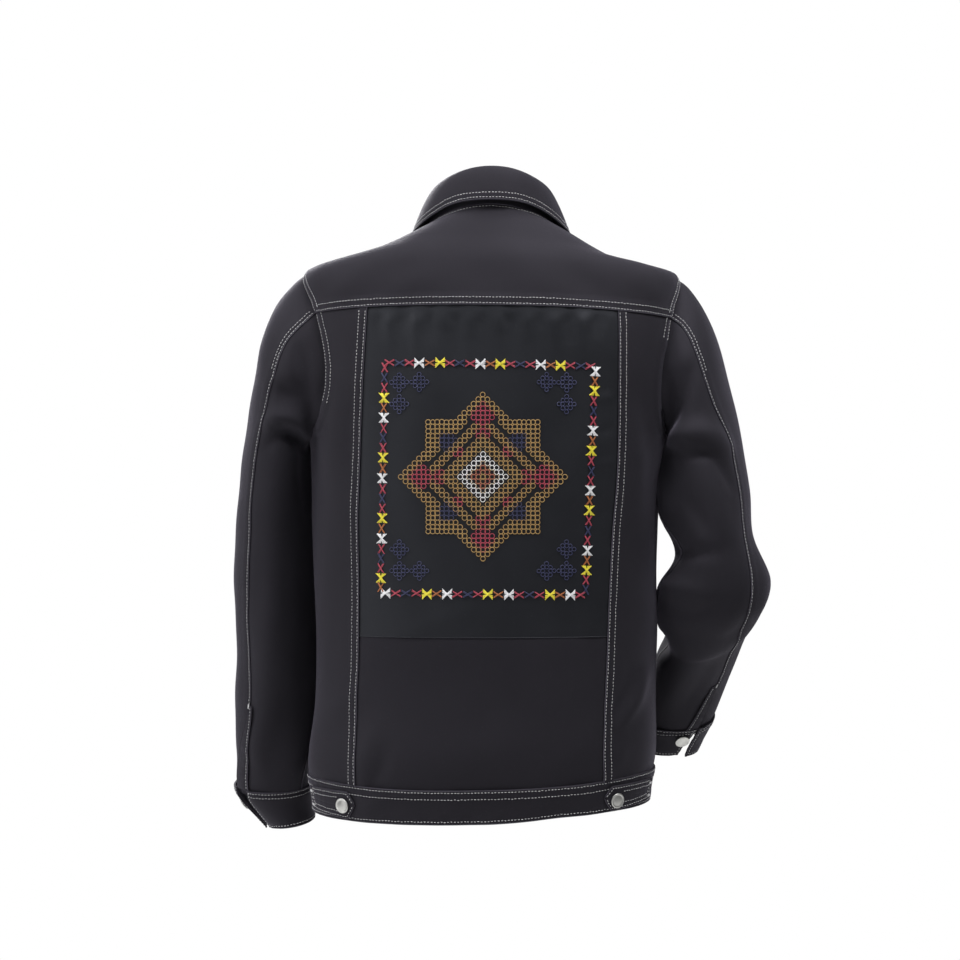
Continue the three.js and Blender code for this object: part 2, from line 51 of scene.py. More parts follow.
# The jacket is seen level, from straight behind.
cameraView = {"distance": 2.6, "height": -0.2875, "lens": 84.8, "shift": -0.0125}
camera = addObject("camera", bpy.data.cameras.new("camera"))
camera.data.lens = cameraView["lens"]
camera.data.shift_x = cameraView["shift"]
camera.location = (0, cameraView["distance"], cameraView["height"])
camera.rotation_euler = (math.radians(90), 0, math.radians(180))
scene.camera = camera


def mixOf(a, b, share):
    return a + (b - a) * share


def smoothStep(share):
    share = np.clip(share, 0, 1)
    return share * share * (3 - 2 * share)


# 1 where the distance is 0, falling softly to 0 over about twice the width.
def bell(away, width):
    return np.exp(-(away / width) ** 2)


def unit(vectors):
    return vectors / np.maximum(np.linalg.norm(vectors, axis=-1, keepdims=True), 1e-9)


# The length run along each row of points, from 0 at its start.
def runAlong(points, axis=0):
    steps = np.cumsum(np.linalg.norm(np.diff(points, axis=axis), axis=-1), axis=axis)
    return np.concatenate([np.zeros_like(np.take(steps, [0], axis)), steps], axis=axis)


def table(names, rows):
    return {"names": names.split(), "rows": np.array(rows, float)}


# A row between the rows of a table, on a curve through all of them.
def between(rowsOf, at):
    rows = rowsOf["rows"]
    last = len(rows) - 1
    at = np.asarray(at, float)
    first = np.clip(np.floor(at), 0, last - 1).astype(int)
    part = (at - first)[..., None]
    a, b, c, d = (rows[np.clip(first + step, 0, last)] for step in (-1, 0, 1, 2))
    curve = 2 * a - 5 * b + 4 * c - d + part * (3 * (b - c) + d - a)
    mixed = b + 0.5 * part * (c - a + part * curve)
    return {name: mixed[..., i] for i, name in enumerate(rowsOf["names"])}


# Heights and seams that the pieces share, as they are in the frame.
shape = {
    "underarm": -238, "shoulderTip": -51, "yokeTurn": 64, "bandHalf": 18, "tipY": -9,
    "armholeBack": {1: 76, -1: 66}, "armholeFront": 64, "armholeEgg": 0.74, "overlapLift": 2.9,
    "overlapRamp": 45, "collarEnd": 0.5, "bandLift": 0.8,
}
gap = 0.3  # between neighbours
doubled = 2.4  # two layers of cloth
yokeShare = (1 + math.cos(math.radians(shape["yokeTurn"]))) / 2
yokeSideZ = shape["underarm"] + yokeShare * (shape["shoulderTip"] - shape["underarm"])

# Level rings of the body, from the hem up to the neck seam.
levels = table("zBack zSide zFront halfWidth backDepth frontDepth square shift tilt seamX sway", [
    [-666, -660, -660, 192, 112, 112, 2.4, 12, -0.02, 137.5, 2],
    [-629, -618, -618, 198, 116, 117, 2.4, 12, -0.02, 137.5, 2],
    [-594, -588, -588, 199, 119, 119, 2.4, 10.5, -0.015, 137.5, 4],
    [-540, -537, -536, 195, 116, 115, 2.4, 7, -0.008, 137.5, 6],
    [-461, -461, -459, 195, 114, 112, 2.4, 7, 0, 138, 3],
    [-356, -356, -352, 198, 115, 116, 2.45, 8, 0, 140.5, 0],
    [-292, -292, -286, 200, 118, 120, 2.5, 6, 0, 142.5, -1],
    [-240, -238, -232, 204, 119, 121, 2.55, 4, 0, 142.5, -1],
    [-166, -166, -166, 209, 118, 118, 2.6, 2, 0.006, 141, -1],
    [-94.5, yokeSideZ, -118, 212, 112, 109, 2.6, 1, 0.012, 139, -2],
    [-45, -51, -95, 211, 101, 98, 2.5, 0.5, 0.009, 136, 0],
    [-12, -34.5, -84, 146, 86, 90, 2.25, 0.5, 0.026, 96, 0],
    [22, 1, -68, 73, 70, 84, 2.05, 1, 0, 48, 0],
])
waistAt, insertAt, underarmAt, tipAt, neckAt = 1, 4, 7, 10, 12


def ringPoint(ring, turn):
    turn = np.radians(turn)
    side, along = np.sin(turn), np.cos(turn)
    power = 2 / ring["square"]
    depth = np.where(along > 0, ring["backDepth"], ring["frontDepth"])
    endZ = np.where(along > 0, ring["zBack"], ring["zFront"])
    x = ring["shift"] + ring["halfWidth"] * np.sign(side) * np.abs(side) ** power
    y = depth * np.sign(along) * np.abs(along) ** power
    z = ring["zSide"] + (endZ - ring["zSide"]) * along * along + ring["tilt"] * x
    return np.stack(np.broadcast_arrays(x, y, z), axis=-1)


def turnAtX(ring, x, onFront=False):
    share = np.clip(np.abs(x) / ring["halfWidth"], 0, 1) ** (ring["square"] / 2)
    turn = np.sign(x) * np.degrees(np.arcsin(share))
    return 180 - turn if onFront else turn


def turnAtY(ring, y):
    depth = np.where(y > 0, ring["backDepth"], ring["frontDepth"])
    turn = np.degrees(np.arccos(np.clip(np.abs(y) / depth, 0, 1) ** (ring["square"] / 2)))
    return np.where(y > 0, turn, 180 - turn)


def bodyPoint(turn, at):
    return ringPoint(between(levels, at), turn)


# The body's middle at each point's height. A panel's outward side faces away from it.
def bodyHollow(points):
    return points * (0, 0, 1) + (4.0, 0, 0)


def seamTurn(at, share):
    ring = between(levels, at)
    return turnAtX(ring, ring["sway"] + share * ring["seamX"])


def bandTurn(at, share):
    half = 180 - turnAtX(between(levels, at), shape["bandHalf"], True)
    return 180 - share * half


def shoulderTurn(at, side):
    return side * turnAtY(between(levels, at), shape["tipY"])


# The level whose side is at this height, found by halving.
def levelOfSide(z):
    low = np.full(np.shape(z), float(underarmAt))
    high = np.full(np.shape(z), float(tipAt))
    for _ in range(40):
        middle = (low + high) / 2
        below = between(levels, middle)["zSide"] < z
        low = np.where(below, middle, low)
        high = np.where(below, high, middle)
    return (low + high) / 2


# The armhole is an egg-shaped loop whose turn runs from the shoulder tip over the back.
def armholeSpot(turn, side):
    share = (1 + np.cos(np.radians(turn))) / 2
    at = levelOfSide(mixOf(shape["underarm"], shape["shoulderTip"], share))
    reach = np.sqrt(np.clip(1 - (2 * share ** shape["armholeEgg"] - 1) ** 2, 0, 1))
    behind = np.sin(np.radians(turn)) >= 0
    depth = np.where(behind, shape["armholeBack"][side], -shape["armholeFront"])
    y = shape["tipY"] * share + depth * reach
    return at, side * turnAtY(between(levels, at), y)


yokeAt = float(armholeSpot(shape["yokeTurn"], 1)[0])


# How far the upper layer of the buttoned front stands out.
def overlapRise(points, turn):
    past = np.where(turn > 180, shape["bandHalf"], np.maximum(points[..., 0], shape["bandHalf"]))
    share = (shape["bandHalf"] + shape["overlapRamp"] - past) / shape["overlapRamp"]
    return np.where(turn < 90, 0, shape["overlapLift"] * smoothStep(share))


# Distance from each point to a line of points, and how far along the line its nearest place is.
def toLine(points, line):
    best = np.full(points.shape[:-1], 1e9)
    place = np.zeros(points.shape[:-1])
    count = len(line) - 1
    for k in range(count):
        run = line[k + 1] - line[k]
        share = np.clip((points - line[k]) @ run / max(run @ run, 1e-9), 0, 1)
        away = np.linalg.norm(points - line[k] - share[..., None] * run, axis=-1)
        nearer = away < best
        best = np.where(nearer, away, best)
        place = np.where(nearer, (k + share) / count, place)
    return best, place


def softNoise(points, size, seed):
    draw = np.random.default_rng(seed)
    total = np.zeros(points.shape[:-1])
    for _ in range(8):
        wave = unit(draw.normal(size=3)) * 2 * np.pi / (size * draw.uniform(0.7, 1.6))
        total += np.sin(points @ wave + draw.uniform(0, 2 * np.pi))
    return total / 3


# A crease is a soft ridge, or a trough where its height is under 0, that fades at its ends.
def creaseRise(points, line, width, height):
    away, place = toLine(points, line)
    return height * bell(away, width) * np.sin(np.pi * (0.1 + 0.8 * place)) ** 0.7


# Creases of the body, slightly bowed, each as x, z, x, z, width and height, seen from behind.
bodyFolds = {"height": 1.5, "bow": 0.06}


def flatCreases(points, creases):
    flat = points * (1, 0, 1)
    rise = np.zeros(points.shape[:-1])
    for x1, z1, x2, z2, width, height in creases:
        bow = bodyFolds["bow"] * math.hypot(x2 - x1, z2 - z1) * math.copysign(1, x1 + 0.37 * z1 + 90)
        middle = ((x1 + x2) / 2 + bow, 0, (z1 + z2) / 2)
        line = np.array([(x1, 0, z1), middle, (x2, 0, z2)])
        rise += creaseRise(flat, line, width, height * bodyFolds["height"])
    return rise


# Places along a length, closer together near an edge that carries topstitching.
fineTicks = np.array([0, 1.5, 3, 5, 7, 9, 11.5, 15])


def ticks(length, step, fineStart=True, fineEnd=True):
    head = fineTicks / length if fineStart else np.array([0.0])
    tail = 1 - fineTicks[::-1] / length if fineEnd else np.array([1.0])
    count = max(2, round((tail[0] - head[-1]) * length / step))
    return np.concatenate([head, np.linspace(head[-1], tail[0], count + 1)[1:-1], tail])


# How the named edges of a panel are sewn: over the neighbour, under it, plain or free. rows are the
# distances of the stitch rows from the edge, and part is the stretch of the edge that is meant. trim
# shortens the rows' ends, lap raises the edge, rope puckers it and worn pales it.
plainSeam = {"rows": (), "part": (0, 1), "trim": (1, 1), "lap": 0.95, "rope": 0.2, "worn": 1}
seamLay = {
    "lapFlat": 8, "lapRamp": 6, "wornWidth": 1.5, "sink": 0.55, "sinkWidth": 6, "dip": 0.5, "dipWidth": 2.4,
    "ropeFrom": 5, "ropeWidth": 5, "ropeWorn": 0.35, "rowDip": 0.42, "rowWidth": 1.3, "rowWorn": 0.3,
    "rowWornWidth": 1.6, "tuck": 6, "tuckDrop": 0.8, "rimBulge": 0.42, "rimWorn": 1.4,
}


def sewn(edges, lay, rows=(), **more):
    return [{**plainSeam, "edge": edge, "lay": lay, "rows": rows, **more} for edge in edges.split()]


def edgeLine(grid, edge, part=(0, 1)):
    line = {"start": grid[0], "end": grid[-1], "low": grid[:, 0], "high": grid[:, -1]}[edge]
    first, last = (round(share * (len(line) - 1)) for share in part)
    return line[first:last + 1]


def outward(base, hollow):
    out = unit(np.cross(np.gradient(base, axis=1), np.gradient(base, axis=0)))
    return -out if np.sum(out * (base - hollow)) < 0 else out


# The fine, uneven rope that stitches draw an edge into.
def unevenWave(run, seed):
    return np.sin(run / 1.35 + 2.1 * np.sin(run / 17) + seed) + 0.7 * np.sin(run / 2.9 + seed)


# The form, raised outward by a height at each point.
def raised(base, hollow, height):
    return base + outward(base, hollow) * height[..., None]


# One panel of cloth on its own part of the form, raised by its creases and shaped by its seams.
def makePanel(base, hollow, seams, rise=0, thickness=1.0, calm=0.75, size=90, seed=1):
    out = outward(base, hollow)
    height = np.zeros(base.shape[:-1]) + rise + calm * softNoise(base, size, seed)
    rub = np.zeros(base.shape[:-1])
    for seam in seams:
        line = edgeLine(base, seam["edge"], seam["part"])
        step = max(1, len(line) // 70)
        away, place = toLine(base, np.concatenate([line[:-1:step], line[-1:]]))
        if seam["lay"] in ("over", "free"):
            height += seam["lap"] * (1 - smoothStep((away - seamLay["lapFlat"]) / seamLay["lapRamp"]))
            rub += bell(away, seamLay["wornWidth"]) * seam["worn"]
        if seam["lay"] == "under":
            height -= seamLay["sink"] * bell(away, seamLay["sinkWidth"])
        if seam["lay"] == "plain":
            height -= seamLay["dip"] * bell(away, seamLay["dipWidth"])
        if seam["rows"]:
            wave = unevenWave(place * runAlong(line)[-1], seed)
            rope = wave * bell(away - seamLay["ropeFrom"], seamLay["ropeWidth"])
            height += seam["rope"] * rope
            rub += seamLay["ropeWorn"] * np.clip(rope, 0, 1)
        for row in seam["rows"]:
            height -= seamLay["rowDip"] * bell(away - row, seamLay["rowWidth"])
            rub += seamLay["rowWorn"] * bell(away - row, seamLay["rowWornWidth"])
    outer = base + out * height[..., None]
    return {"base": base, "outer": outer, "out": out, "thickness": thickness, "rub": rub, "seams": seams}


def meshPiece(name, points, faces, material):
    mesh = bpy.data.meshes.new(name)
    mesh.from_pydata((np.asarray(points) / 1000).tolist(), [], faces)
    mesh.materials.append(material)
    mesh.polygons.foreach_set("use_smooth", [True] * len(mesh.polygons))
    mesh.update()
    piece = addObject(name, mesh)
    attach(piece, "root")
    return piece


def pointValues(piece, name, values, kind="FLOAT"):
    layer = piece.data.attributes.new(name, kind, "POINT")
    field = "value" if kind == "FLOAT" else "vector"
    layer.data.foreach_set(field, np.asarray(values, dtype=np.float32).ravel())


# Adds a row beyond an edge that lies under its neighbour, so that no light shows between them.
def tucked(grid, out, edge):
    turned = edge in ("low", "high")
    points, normals = (np.swapaxes(one, 0, 1) if turned else one for one in (grid, out))
    first, second = (0, 1) if edge in ("start", "low") else (-1, -2)
    ahead = unit(points[first] - points[second])
    extra = points[first] + ahead * seamLay["tuck"] - normals[first] * seamLay["tuckDrop"]
    order = 1 if first == 0 else -1
    points = np.concatenate([extra[None], points][::order])
    normals = np.concatenate([normals[first][None], normals][::order])
    return (np.swapaxes(points, 0, 1), np.swapaxes(normals, 0, 1)) if turned else (points, normals)


# Repeats the values at the edges that got such a row.
def padGrid(values, edges):
    wide = [("start" in edges, "end" in edges), ("low" in edges, "high" in edges)]
    return np.pad(values, np.array(wide + [(0, 0)] * (values.ndim - 2), int), mode="edge")


def gridQuads(rows, columns, first=0):
    i, j = np.meshgrid(np.arange(rows - 1), np.arange(columns - 1), indexing="ij")
    a = (first + i * columns + j).ravel()
    return np.stack([a, a + columns, a + columns + 1, a + 1], axis=1)


# Closes a panel into a thin shell with a rounded rim.
def closeSheet(panel, node, slot):
    outer, out, base = panel["outer"], panel["out"], panel["base"]
    unders = [seam["edge"] for seam in panel["seams"] if seam["lay"] == "under" and seam["part"] == (0, 1)]
    for edge in unders:
        outer, out = tucked(outer, out, edge)
    inner = outer - out * panel["thickness"]
    rows, columns = outer.shape[:2]
    count = rows * columns
    loop = [(i, 0) for i in range(rows)] + [(rows - 1, j) for j in range(1, columns)]
    loop += [(i, columns - 1) for i in range(rows - 2, -1, -1)] + [(0, j) for j in range(columns - 2, 0, -1)]
    loop = np.array(loop)
    around, inward = tuple(loop.T), tuple(np.clip(loop, 1, [rows - 2, columns - 2]).T)
    bulge = unit(outer[around] - outer[inward]) * panel["thickness"] * seamLay["rimBulge"]
    middle = (outer[around] + inner[around]) / 2 + bulge
    ring = loop[:, 0] * columns + loop[:, 1]
    mid = 2 * count + np.arange(len(ring))
    after, midAfter = np.roll(ring, -1), np.roll(mid, -1)
    faces = np.concatenate([
        gridQuads(rows, columns), gridQuads(rows, columns, count)[:, ::-1],
        np.stack([ring, mid, midAfter, after], axis=1)[:, ::-1],
        np.stack([mid, ring + count, after + count, midAfter], axis=1)[:, ::-1],
    ])
    i, j = rows // 2, columns // 2
    if np.dot(np.cross(outer[i + 1, j] - outer[i, j], outer[i, j + 1] - outer[i, j]), out[i, j]) < 0:
        faces = faces[:, ::-1]
    points = np.concatenate([outer.reshape(-1, 3), inner.reshape(-1, 3), middle])
    piece = meshPiece(node + "_cloth", points, faces.tolist(), cloths[slot])
    across, along = runAlong(base), runAlong(base, 1)
    chart = np.stack([across - across[len(across) // 2], along, np.zeros_like(along)], axis=2) / 1000
    chart, rub = padGrid(chart, unders), padGrid(panel["rub"], unders)
    charts = np.concatenate([chart.reshape(-1, 3)] * 2 + [chart[around]])
    pointValues(piece, "weave", charts, "FLOAT_VECTOR")
    pointValues(piece, "rub", np.concatenate([rub.ravel(), rub.ravel(), rub[around] * seamLay["rimWorn"]]))
    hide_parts(node)


# Makes a panel, closes it and sews its stitch rows.
def sewPanel(node, base, seams, group="body", hollow=None, slot="twill", **how):
    panel = makePanel(base, bodyHollow(base) if hollow is None else hollow, seams, **how)
    closeSheet(panel, node, slot)
    sewRows(group, panel)
    return panel


# Sets or links a node's inputs: plain values stay on the sockets, outputs of other nodes are linked.
def feed(node, inputs):
    for key, value in inputs.items():
        if isinstance(value, bpy.types.NodeSocket):
            node.id_data.links.new(value, node.inputs[key])
        else:
            node.inputs[key].default_value = value


def addNode(tree, kind, inputs=None, **settings):
    node = tree.nodes.new("ShaderNode" + kind)
    for key, value in settings.items():
        setattr(node, key, value)
    feed(node, inputs or {})
    return node


# The helpers below add their node to the tree that their first socket is in.
def combine(operation, first, *rest):
    return addNode(first.id_data, "Math", dict(enumerate((first, *rest))), operation=operation).outputs[0]


def times(first, second):
    return combine("MULTIPLY", first, second)


def plus(first, second):
    return combine("ADD", first, second)


def ranged(value, source=(0.0, 1.0), target=(0.0, 1.0)):
    return addNode(value.id_data, "MapRange", dict(enumerate((value, *source, *target)))).outputs[0]


def noise(place, scale, detail, roughness=0.5):
    inputs = {"Vector": place, "Scale": scale, "Detail": detail, "Roughness": roughness}
    return addNode(place.id_data, "TexNoise", inputs).outputs["Fac"]


def bumped(height, strength, distance):
    inputs = {"Height": height, "Strength": strength, "Distance": distance}
    return addNode(height.id_data, "Bump", inputs).outputs[0]


def mixColours(factor, first, second):
    first, second = (one if hasattr(one, "is_output") else (*one, 1) for one in (first, second))
    return addNode(factor.id_data, "Mix", {0: factor, 6: first, 7: second}, data_type="RGBA").outputs[2]


# A node group holds an effect that several cloths and threads share. Its vector is given first.
def makeGroup(name, vector, inputs, outputs):
    group = bpy.data.node_groups.new(name, "ShaderNodeTree")
    group.interface.new_socket(vector, in_out="INPUT", socket_type="NodeSocketVector")
    for label, value in inputs.items():
        socket = group.interface.new_socket(label, in_out="INPUT", socket_type="NodeSocketFloat")
        socket.default_value = value
    for label in outputs:
        group.interface.new_socket(label, in_out="OUTPUT", socket_type="NodeSocketFloat")
    return group, group.nodes.new("NodeGroupInput").outputs, group.nodes.new("NodeGroupOutput")


fullTurn = 6.2832  # in radians


# Diagonal weave on the cloth's own lengths: ribs run up to the right, broken by the crossing yarn. Its second
# output marks the furrows between the ribs, which the cloths paint darker as shade.
def weaveGroup():
    inputs = {"Ribs per metre": 900.0, "Slant": 1.0, "Uneven": 0.25}
    group, given, gives = makeGroup("diagonalWeave", "Cloth", inputs, ("Height", "Furrow shade"))
    x, y, _ = addNode(group, "SeparateXYZ", {0: given["Cloth"]}).outputs
    slub = noise(given["Cloth"], 260.0, 2.0)
    turns = times(given["Ribs per metre"], fullTurn)
    slanted = times(plus(x, times(y, given["Slant"])), turns)
    crossing = times(combine("SUBTRACT", y, x), turns)
    rib = combine("SINE", plus(slanted, times(slub, 5.0)))
    cut = combine("SINE", times(crossing, 1.7))
    woven = plus(rib, times(cut, 0.35))
    height = plus(times(woven, 0.4), times(slub, given["Uneven"]))
    feed(gives, {"Height": height, "Furrow shade": ranged(woven, (-1.0, 1.2))})
    return group


# Wear of cloth: broad uneven fading, fine lint, and paler raised places along seams.
def wearGroup():
    inputs = {"Rub": 0.0, "Fading": 0.4, "Lint": 0.3, "Patch size": 7.0}
    group, given, gives = makeGroup("clothWear", "Place", inputs, ("Worn", "Rougher"))
    patch = noise(given["Place"], given["Patch size"], 5.0, 0.62)
    lint = noise(given["Place"], 420.0, 1.0)
    broad = times(ranged(patch, (0.3, 0.72)), given["Fading"])
    fine = times(ranged(lint, (0.64, 0.78)), given["Lint"])
    limit = addNode(group, "Clamp", {0: plus(plus(broad, fine), given["Rub"])}).outputs[0]
    feed(gives, {"Worn": limit, "Rougher": ranged(patch, (0.25, 0.75))})
    return group


# Twist of a thread, from its own length and the way round it.
def twistGroup():
    group, given, gives = makeGroup("threadTwist", "Thread", {"Turns per metre": 900.0}, ("Height", "Shade"))
    along, around, _ = addNode(group, "SeparateXYZ", {0: given["Thread"]}).outputs
    wave = combine("SINE", times(plus(times(along, given["Turns per metre"]), around), fullTurn))
    feed(gives, {"Height": wave, "Shade": ranged(wave, (-1.0, 1.0))})
    return group


diagonalWeave, clothWear, threadTwist = weaveGroup(), wearGroup(), twistGroup()


def startMaterial(name):
    material = bpy.data.materials.new(name)
    material.use_nodes = True
    return material, material.node_tree, material.node_tree.nodes["Principled BSDF"]


def lengthsOf(tree, name, output="Vector"):
    return addNode(tree, "Attribute", attribute_name=name).outputs[output]


def placeOf(tree):
    return addNode(tree, "TexCoord").outputs["Object"]


def grouped(group, inputs):
    tree = next(iter(inputs.values())).id_data
    return addNode(tree, "Group", inputs, node_tree=group).outputs


# The furrow colour is painted shade in the weave's furrows, darker than the cloth's own colour.
twillLook = {
    "colour": (0.0094, 0.009, 0.0104), "worn": (0.0196, 0.0188, 0.0218), "furrowShade": (0.0055, 0.0053, 0.0062),
    "gloss": (0.84, 0.78, 1.0), "roughness": (0.66, 0.84), "sheen": 0.14, "sheenRoughness": 0.42,
    "ribs": 880.0, "bump": 0.26,
}
satinLook = {
    "colour": (0.0088, 0.0093, 0.0111), "worn": (0.0175, 0.0185, 0.022), "furrowShade": (0.006, 0.0064, 0.008),
    "gloss": (0.85, 0.87, 1.0), "roughness": (0.46, 0.6), "sheen": 0.06, "sheenRoughness": 0.35,
    "ribs": 1900.0, "bump": 0.08,
}
clothAge = {"Fading": 0.42, "Lint": 0.3}
seamRub = 0.3  # how much a rubbed edge pales


def clothMaterial(name, look):
    material, tree, shader = startMaterial(name)
    rub = times(lengthsOf(tree, "rub", "Fac"), seamRub)
    weave = grouped(diagonalWeave, {"Cloth": lengthsOf(tree, "weave"), "Ribs per metre": look["ribs"]})
    wear = grouped(clothWear, {"Place": placeOf(tree), "Rub": rub, **clothAge})
    # The weave's furrows are painted darker here: painted shade.
    ground = mixColours(weave["Furrow shade"], look["furrowShade"], look["colour"])
    feed(shader, {
        "Base Color": mixColours(wear["Worn"], ground, look["worn"]),
        "Roughness": ranged(wear["Rougher"], target=look["roughness"]),
        "Normal": bumped(weave["Height"], look["bump"], 0.0004),
        "Sheen Weight": look["sheen"], "Sheen Roughness": look["sheenRoughness"],
        "Specular IOR Level": 0.3, "Specular Tint": (*look["gloss"], 1), "Sheen Tint": (*look["gloss"], 1),
    })
    return material


threadAge = {"Fading": 0.5, "Lint": 0.2, "Patch size": 60.0}


def threadMaterial(name, colour, dark, roughness=0.6, turns=900.0):
    material, tree, shader = startMaterial(name)
    twist = grouped(threadTwist, {"Thread": lengthsOf(tree, "thread"), "Turns per metre": turns})
    wear = grouped(clothWear, {"Place": placeOf(tree), **threadAge})
    soiled = tuple(0.82 * one + 0.03 for one in colour)
    feed(shader, {
        "Base Color": mixColours(wear["Worn"], mixColours(twist["Shade"], dark, colour), soiled),
        "Normal": bumped(twist["Height"], 0.3, 0.0002), "Roughness": roughness, "Sheen Weight": 0.15,
    })
    return material


nickelLook = {
    "colour": (0.62, 0.62, 0.6), "worn": (0.42, 0.42, 0.41), "roughness": (0.28, 0.5), "grain": 900.0,
    "age": {"Fading": 0.7, "Lint": 0.15, "Patch size": 140.0},
}


def metalMaterial(name, look):
    material, tree, shader = startMaterial(name)
    place = placeOf(tree)
    wear = grouped(clothWear, {"Place": place, **look["age"]})
    feed(shader, {
        "Base Color": mixColours(wear["Worn"], look["colour"], look["worn"]),
        "Roughness": ranged(wear["Rougher"], target=look["roughness"]),
        "Normal": bumped(noise(place, look["grain"], 3.0), 0.12, 0.0002), "Metallic": 1.0,
    })
    return material


cloths = {"twill": clothMaterial("blackTwill", twillLook), "satin": clothMaterial("blackSatin", satinLook)}
topThread = threadMaterial("paleTopThread", (0.74, 0.74, 0.75), (0.42, 0.42, 0.44))
nickel = metalMaterial("dullNickel", nickelLook)
print("materials ready")

# Stitches are gathered by group and made as one mesh of short, slightly sunk threads. A section is
# its place along the stitch, its size and its lift.
stitchLook = {
    "pitch": 3.7, "stray": 0.12, "length": 2.15, "lengths": (0.9, 1.06), "thick": 0.76, "sizes": (0.88, 1.1),
    "sides": 5, "uneven": 0.16, "lift": 0.22, "flattened": 0.85, "tackStitches": 11, "tackLift": 0.25,
    "sections": ((-0.5, 0.5, 0.1), (-0.22, 1.0, 0.52), (0.22, 1.0, 0.52), (0.5, 0.5, 0.1)),
}
stitches = {"body": [], "waistband": [], "collar": [], "sleeves": []}
stitchDraw = np.random.default_rng(41)  # moves each stitch a little along its row


# The nearest places of the finished face to a line, each with its outward direction.
def faceLine(panel, line):
    grid, finished, normals = (panel[one].reshape(-1, 3) for one in ("base", "outer", "out"))
    rise = np.sum((finished - grid) * normals, axis=1)
    points, outs = [], []
    for spot in line:
        away = np.sum((grid - spot) ** 2, axis=1)
        near = np.argpartition(away, 4)[:4]
        weight = 1 / (away[near] + 0.05)
        weight /= weight.sum()
        out = unit(weight @ normals[near])
        level = weight @ np.sum((grid[near] - spot) * out, axis=1)
        points.append(spot + out * (level + weight @ rise[near]))
        outs.append(out)
    return np.array(points), np.array(outs)


# A line on the finished face of a panel, at a distance in from one of its edges.
def insideLine(panel, edge, distance, part):
    line = edgeLine(panel["base"], edge, part)
    inner = edgeLine(panel["base"][1:-1] if edge in ("start", "end") else panel["base"][:, 1:-1], edge)
    inner = inner[round(part[0] * (len(inner) - 1)):][:len(line)]
    inward = unit(np.cross(edgeLine(panel["out"], edge, part), unit(np.gradient(line, axis=0))))
    if np.sum(inward * (inner - line)) < 0:
        inward = -inward
    return faceLine(panel, line + inward * distance)


# The values at these places along a line, whose own points lie at the given lengths.
def atLengths(places, lengths, values):
    return np.stack([np.interp(places, lengths, values[:, k]) for k in range(3)], axis=1)


def sewRows(group, panel):
    for seam, row in [(seam, row) for seam in panel["seams"] for row in seam["rows"]]:
        points, outs = insideLine(panel, seam["edge"], row, seam["part"])
        lengths = runAlong(points)
        count = int((lengths[-1] - sum(seam["trim"])) / stitchLook["pitch"])
        if count > 0:
            places = seam["trim"][0] + (np.arange(count) + 0.5) * stitchLook["pitch"]
            places = places + stitchDraw.normal(size=count) * stitchLook["stray"]
            half = stitchLook["length"] / 2
            starts, ends = (atLengths(places + reach, lengths, points) for reach in (-half, half))
            stitches[group] += zip(starts, ends, unit(atLengths(places, lengths, outs)))


# A bar tack: close crosswise stitches that hold the end of an opening.
def barTack(group, middle, along, out, length, across):
    along, out = unit(along), unit(out)
    side = unit(np.cross(out, along)) * across / 2
    for place in np.linspace(-length / 2, length / 2, stitchLook["tackStitches"]):
        spot = middle + along * place + out * stitchLook["tackLift"]
        stitches[group].append((spot - side, spot + side, out))


# Faces of a tube of rings, each ring joined to the next all round.
def tubeFaces(rings, sides):
    ring, k = np.meshgrid(np.arange(rings - 1), np.arange(sides), indexing="ij")
    a, b = ring * sides + k, ring * sides + (k + 1) % sides
    return np.stack([a, b, b + sides, a + sides], axis=-1).reshape(-1, 4)


# The same faces again for each of many like pieces that follow each other.
def repeated(faces, count, size, first=0):
    faces = np.asarray(faces)[None] + (first + np.arange(count) * size)[:, None, None]
    return faces.reshape(-1, faces.shape[-1]).tolist()


# Short capsules with sunk ends, along every stitch of a group.
def makeStitches(group, name):
    a, b, out = (np.array(values, float) for values in zip(*stitches[group]))
    count, sides = len(a), stitchLook["sides"]
    draw = np.random.default_rng(len(group) + 5)
    length = np.linalg.norm(b - a, axis=1, keepdims=True)
    run = (b - a) / length
    side = unit(np.cross(out, run) + draw.normal(size=(count, 3)) * 0.03)
    out = np.cross(run, side)
    middle = (a + b) / 2 + side * draw.normal(size=(count, 1)) * stitchLook["uneven"]
    length = length * draw.uniform(*stitchLook["lengths"], size=(count, 1))
    radius = stitchLook["thick"] / 2 * draw.uniform(*stitchLook["sizes"], size=(count, 1))
    rings = []
    for (place, size, lift), k in product(stitchLook["sections"], range(sides)):
        angle = 2 * np.pi * k / sides
        upright = np.sin(angle) * size * stitchLook["flattened"] + lift
        spot = middle + run * length * place + radius * (side * np.cos(angle) * size + out * upright)
        rings.append(spot + out * stitchLook["lift"])
    size = len(rings)
    faces = repeated(tubeFaces(size // sides, sides), count, size)
    faces += repeated([range(sides - 1, -1, -1)], count, size)
    faces += repeated([range(size - sides, size)], count, size)
    piece = meshPiece(name, np.stack(rings, axis=1).reshape(-1, 3), faces, topThread)
    along = np.repeat([place for place, _, _ in stitchLook["sections"]], sides)
    thread = np.zeros((count, size, 3))
    thread[:, :, 0] = (along * length + np.arange(count)[:, None] * 7.3) / 1000
    thread[:, :, 1] = np.tile(np.arange(sides) / sides, size // sides)
    pointValues(piece, "thread", thread, "FLOAT_VECTOR")
    print(name, count, "stitches")


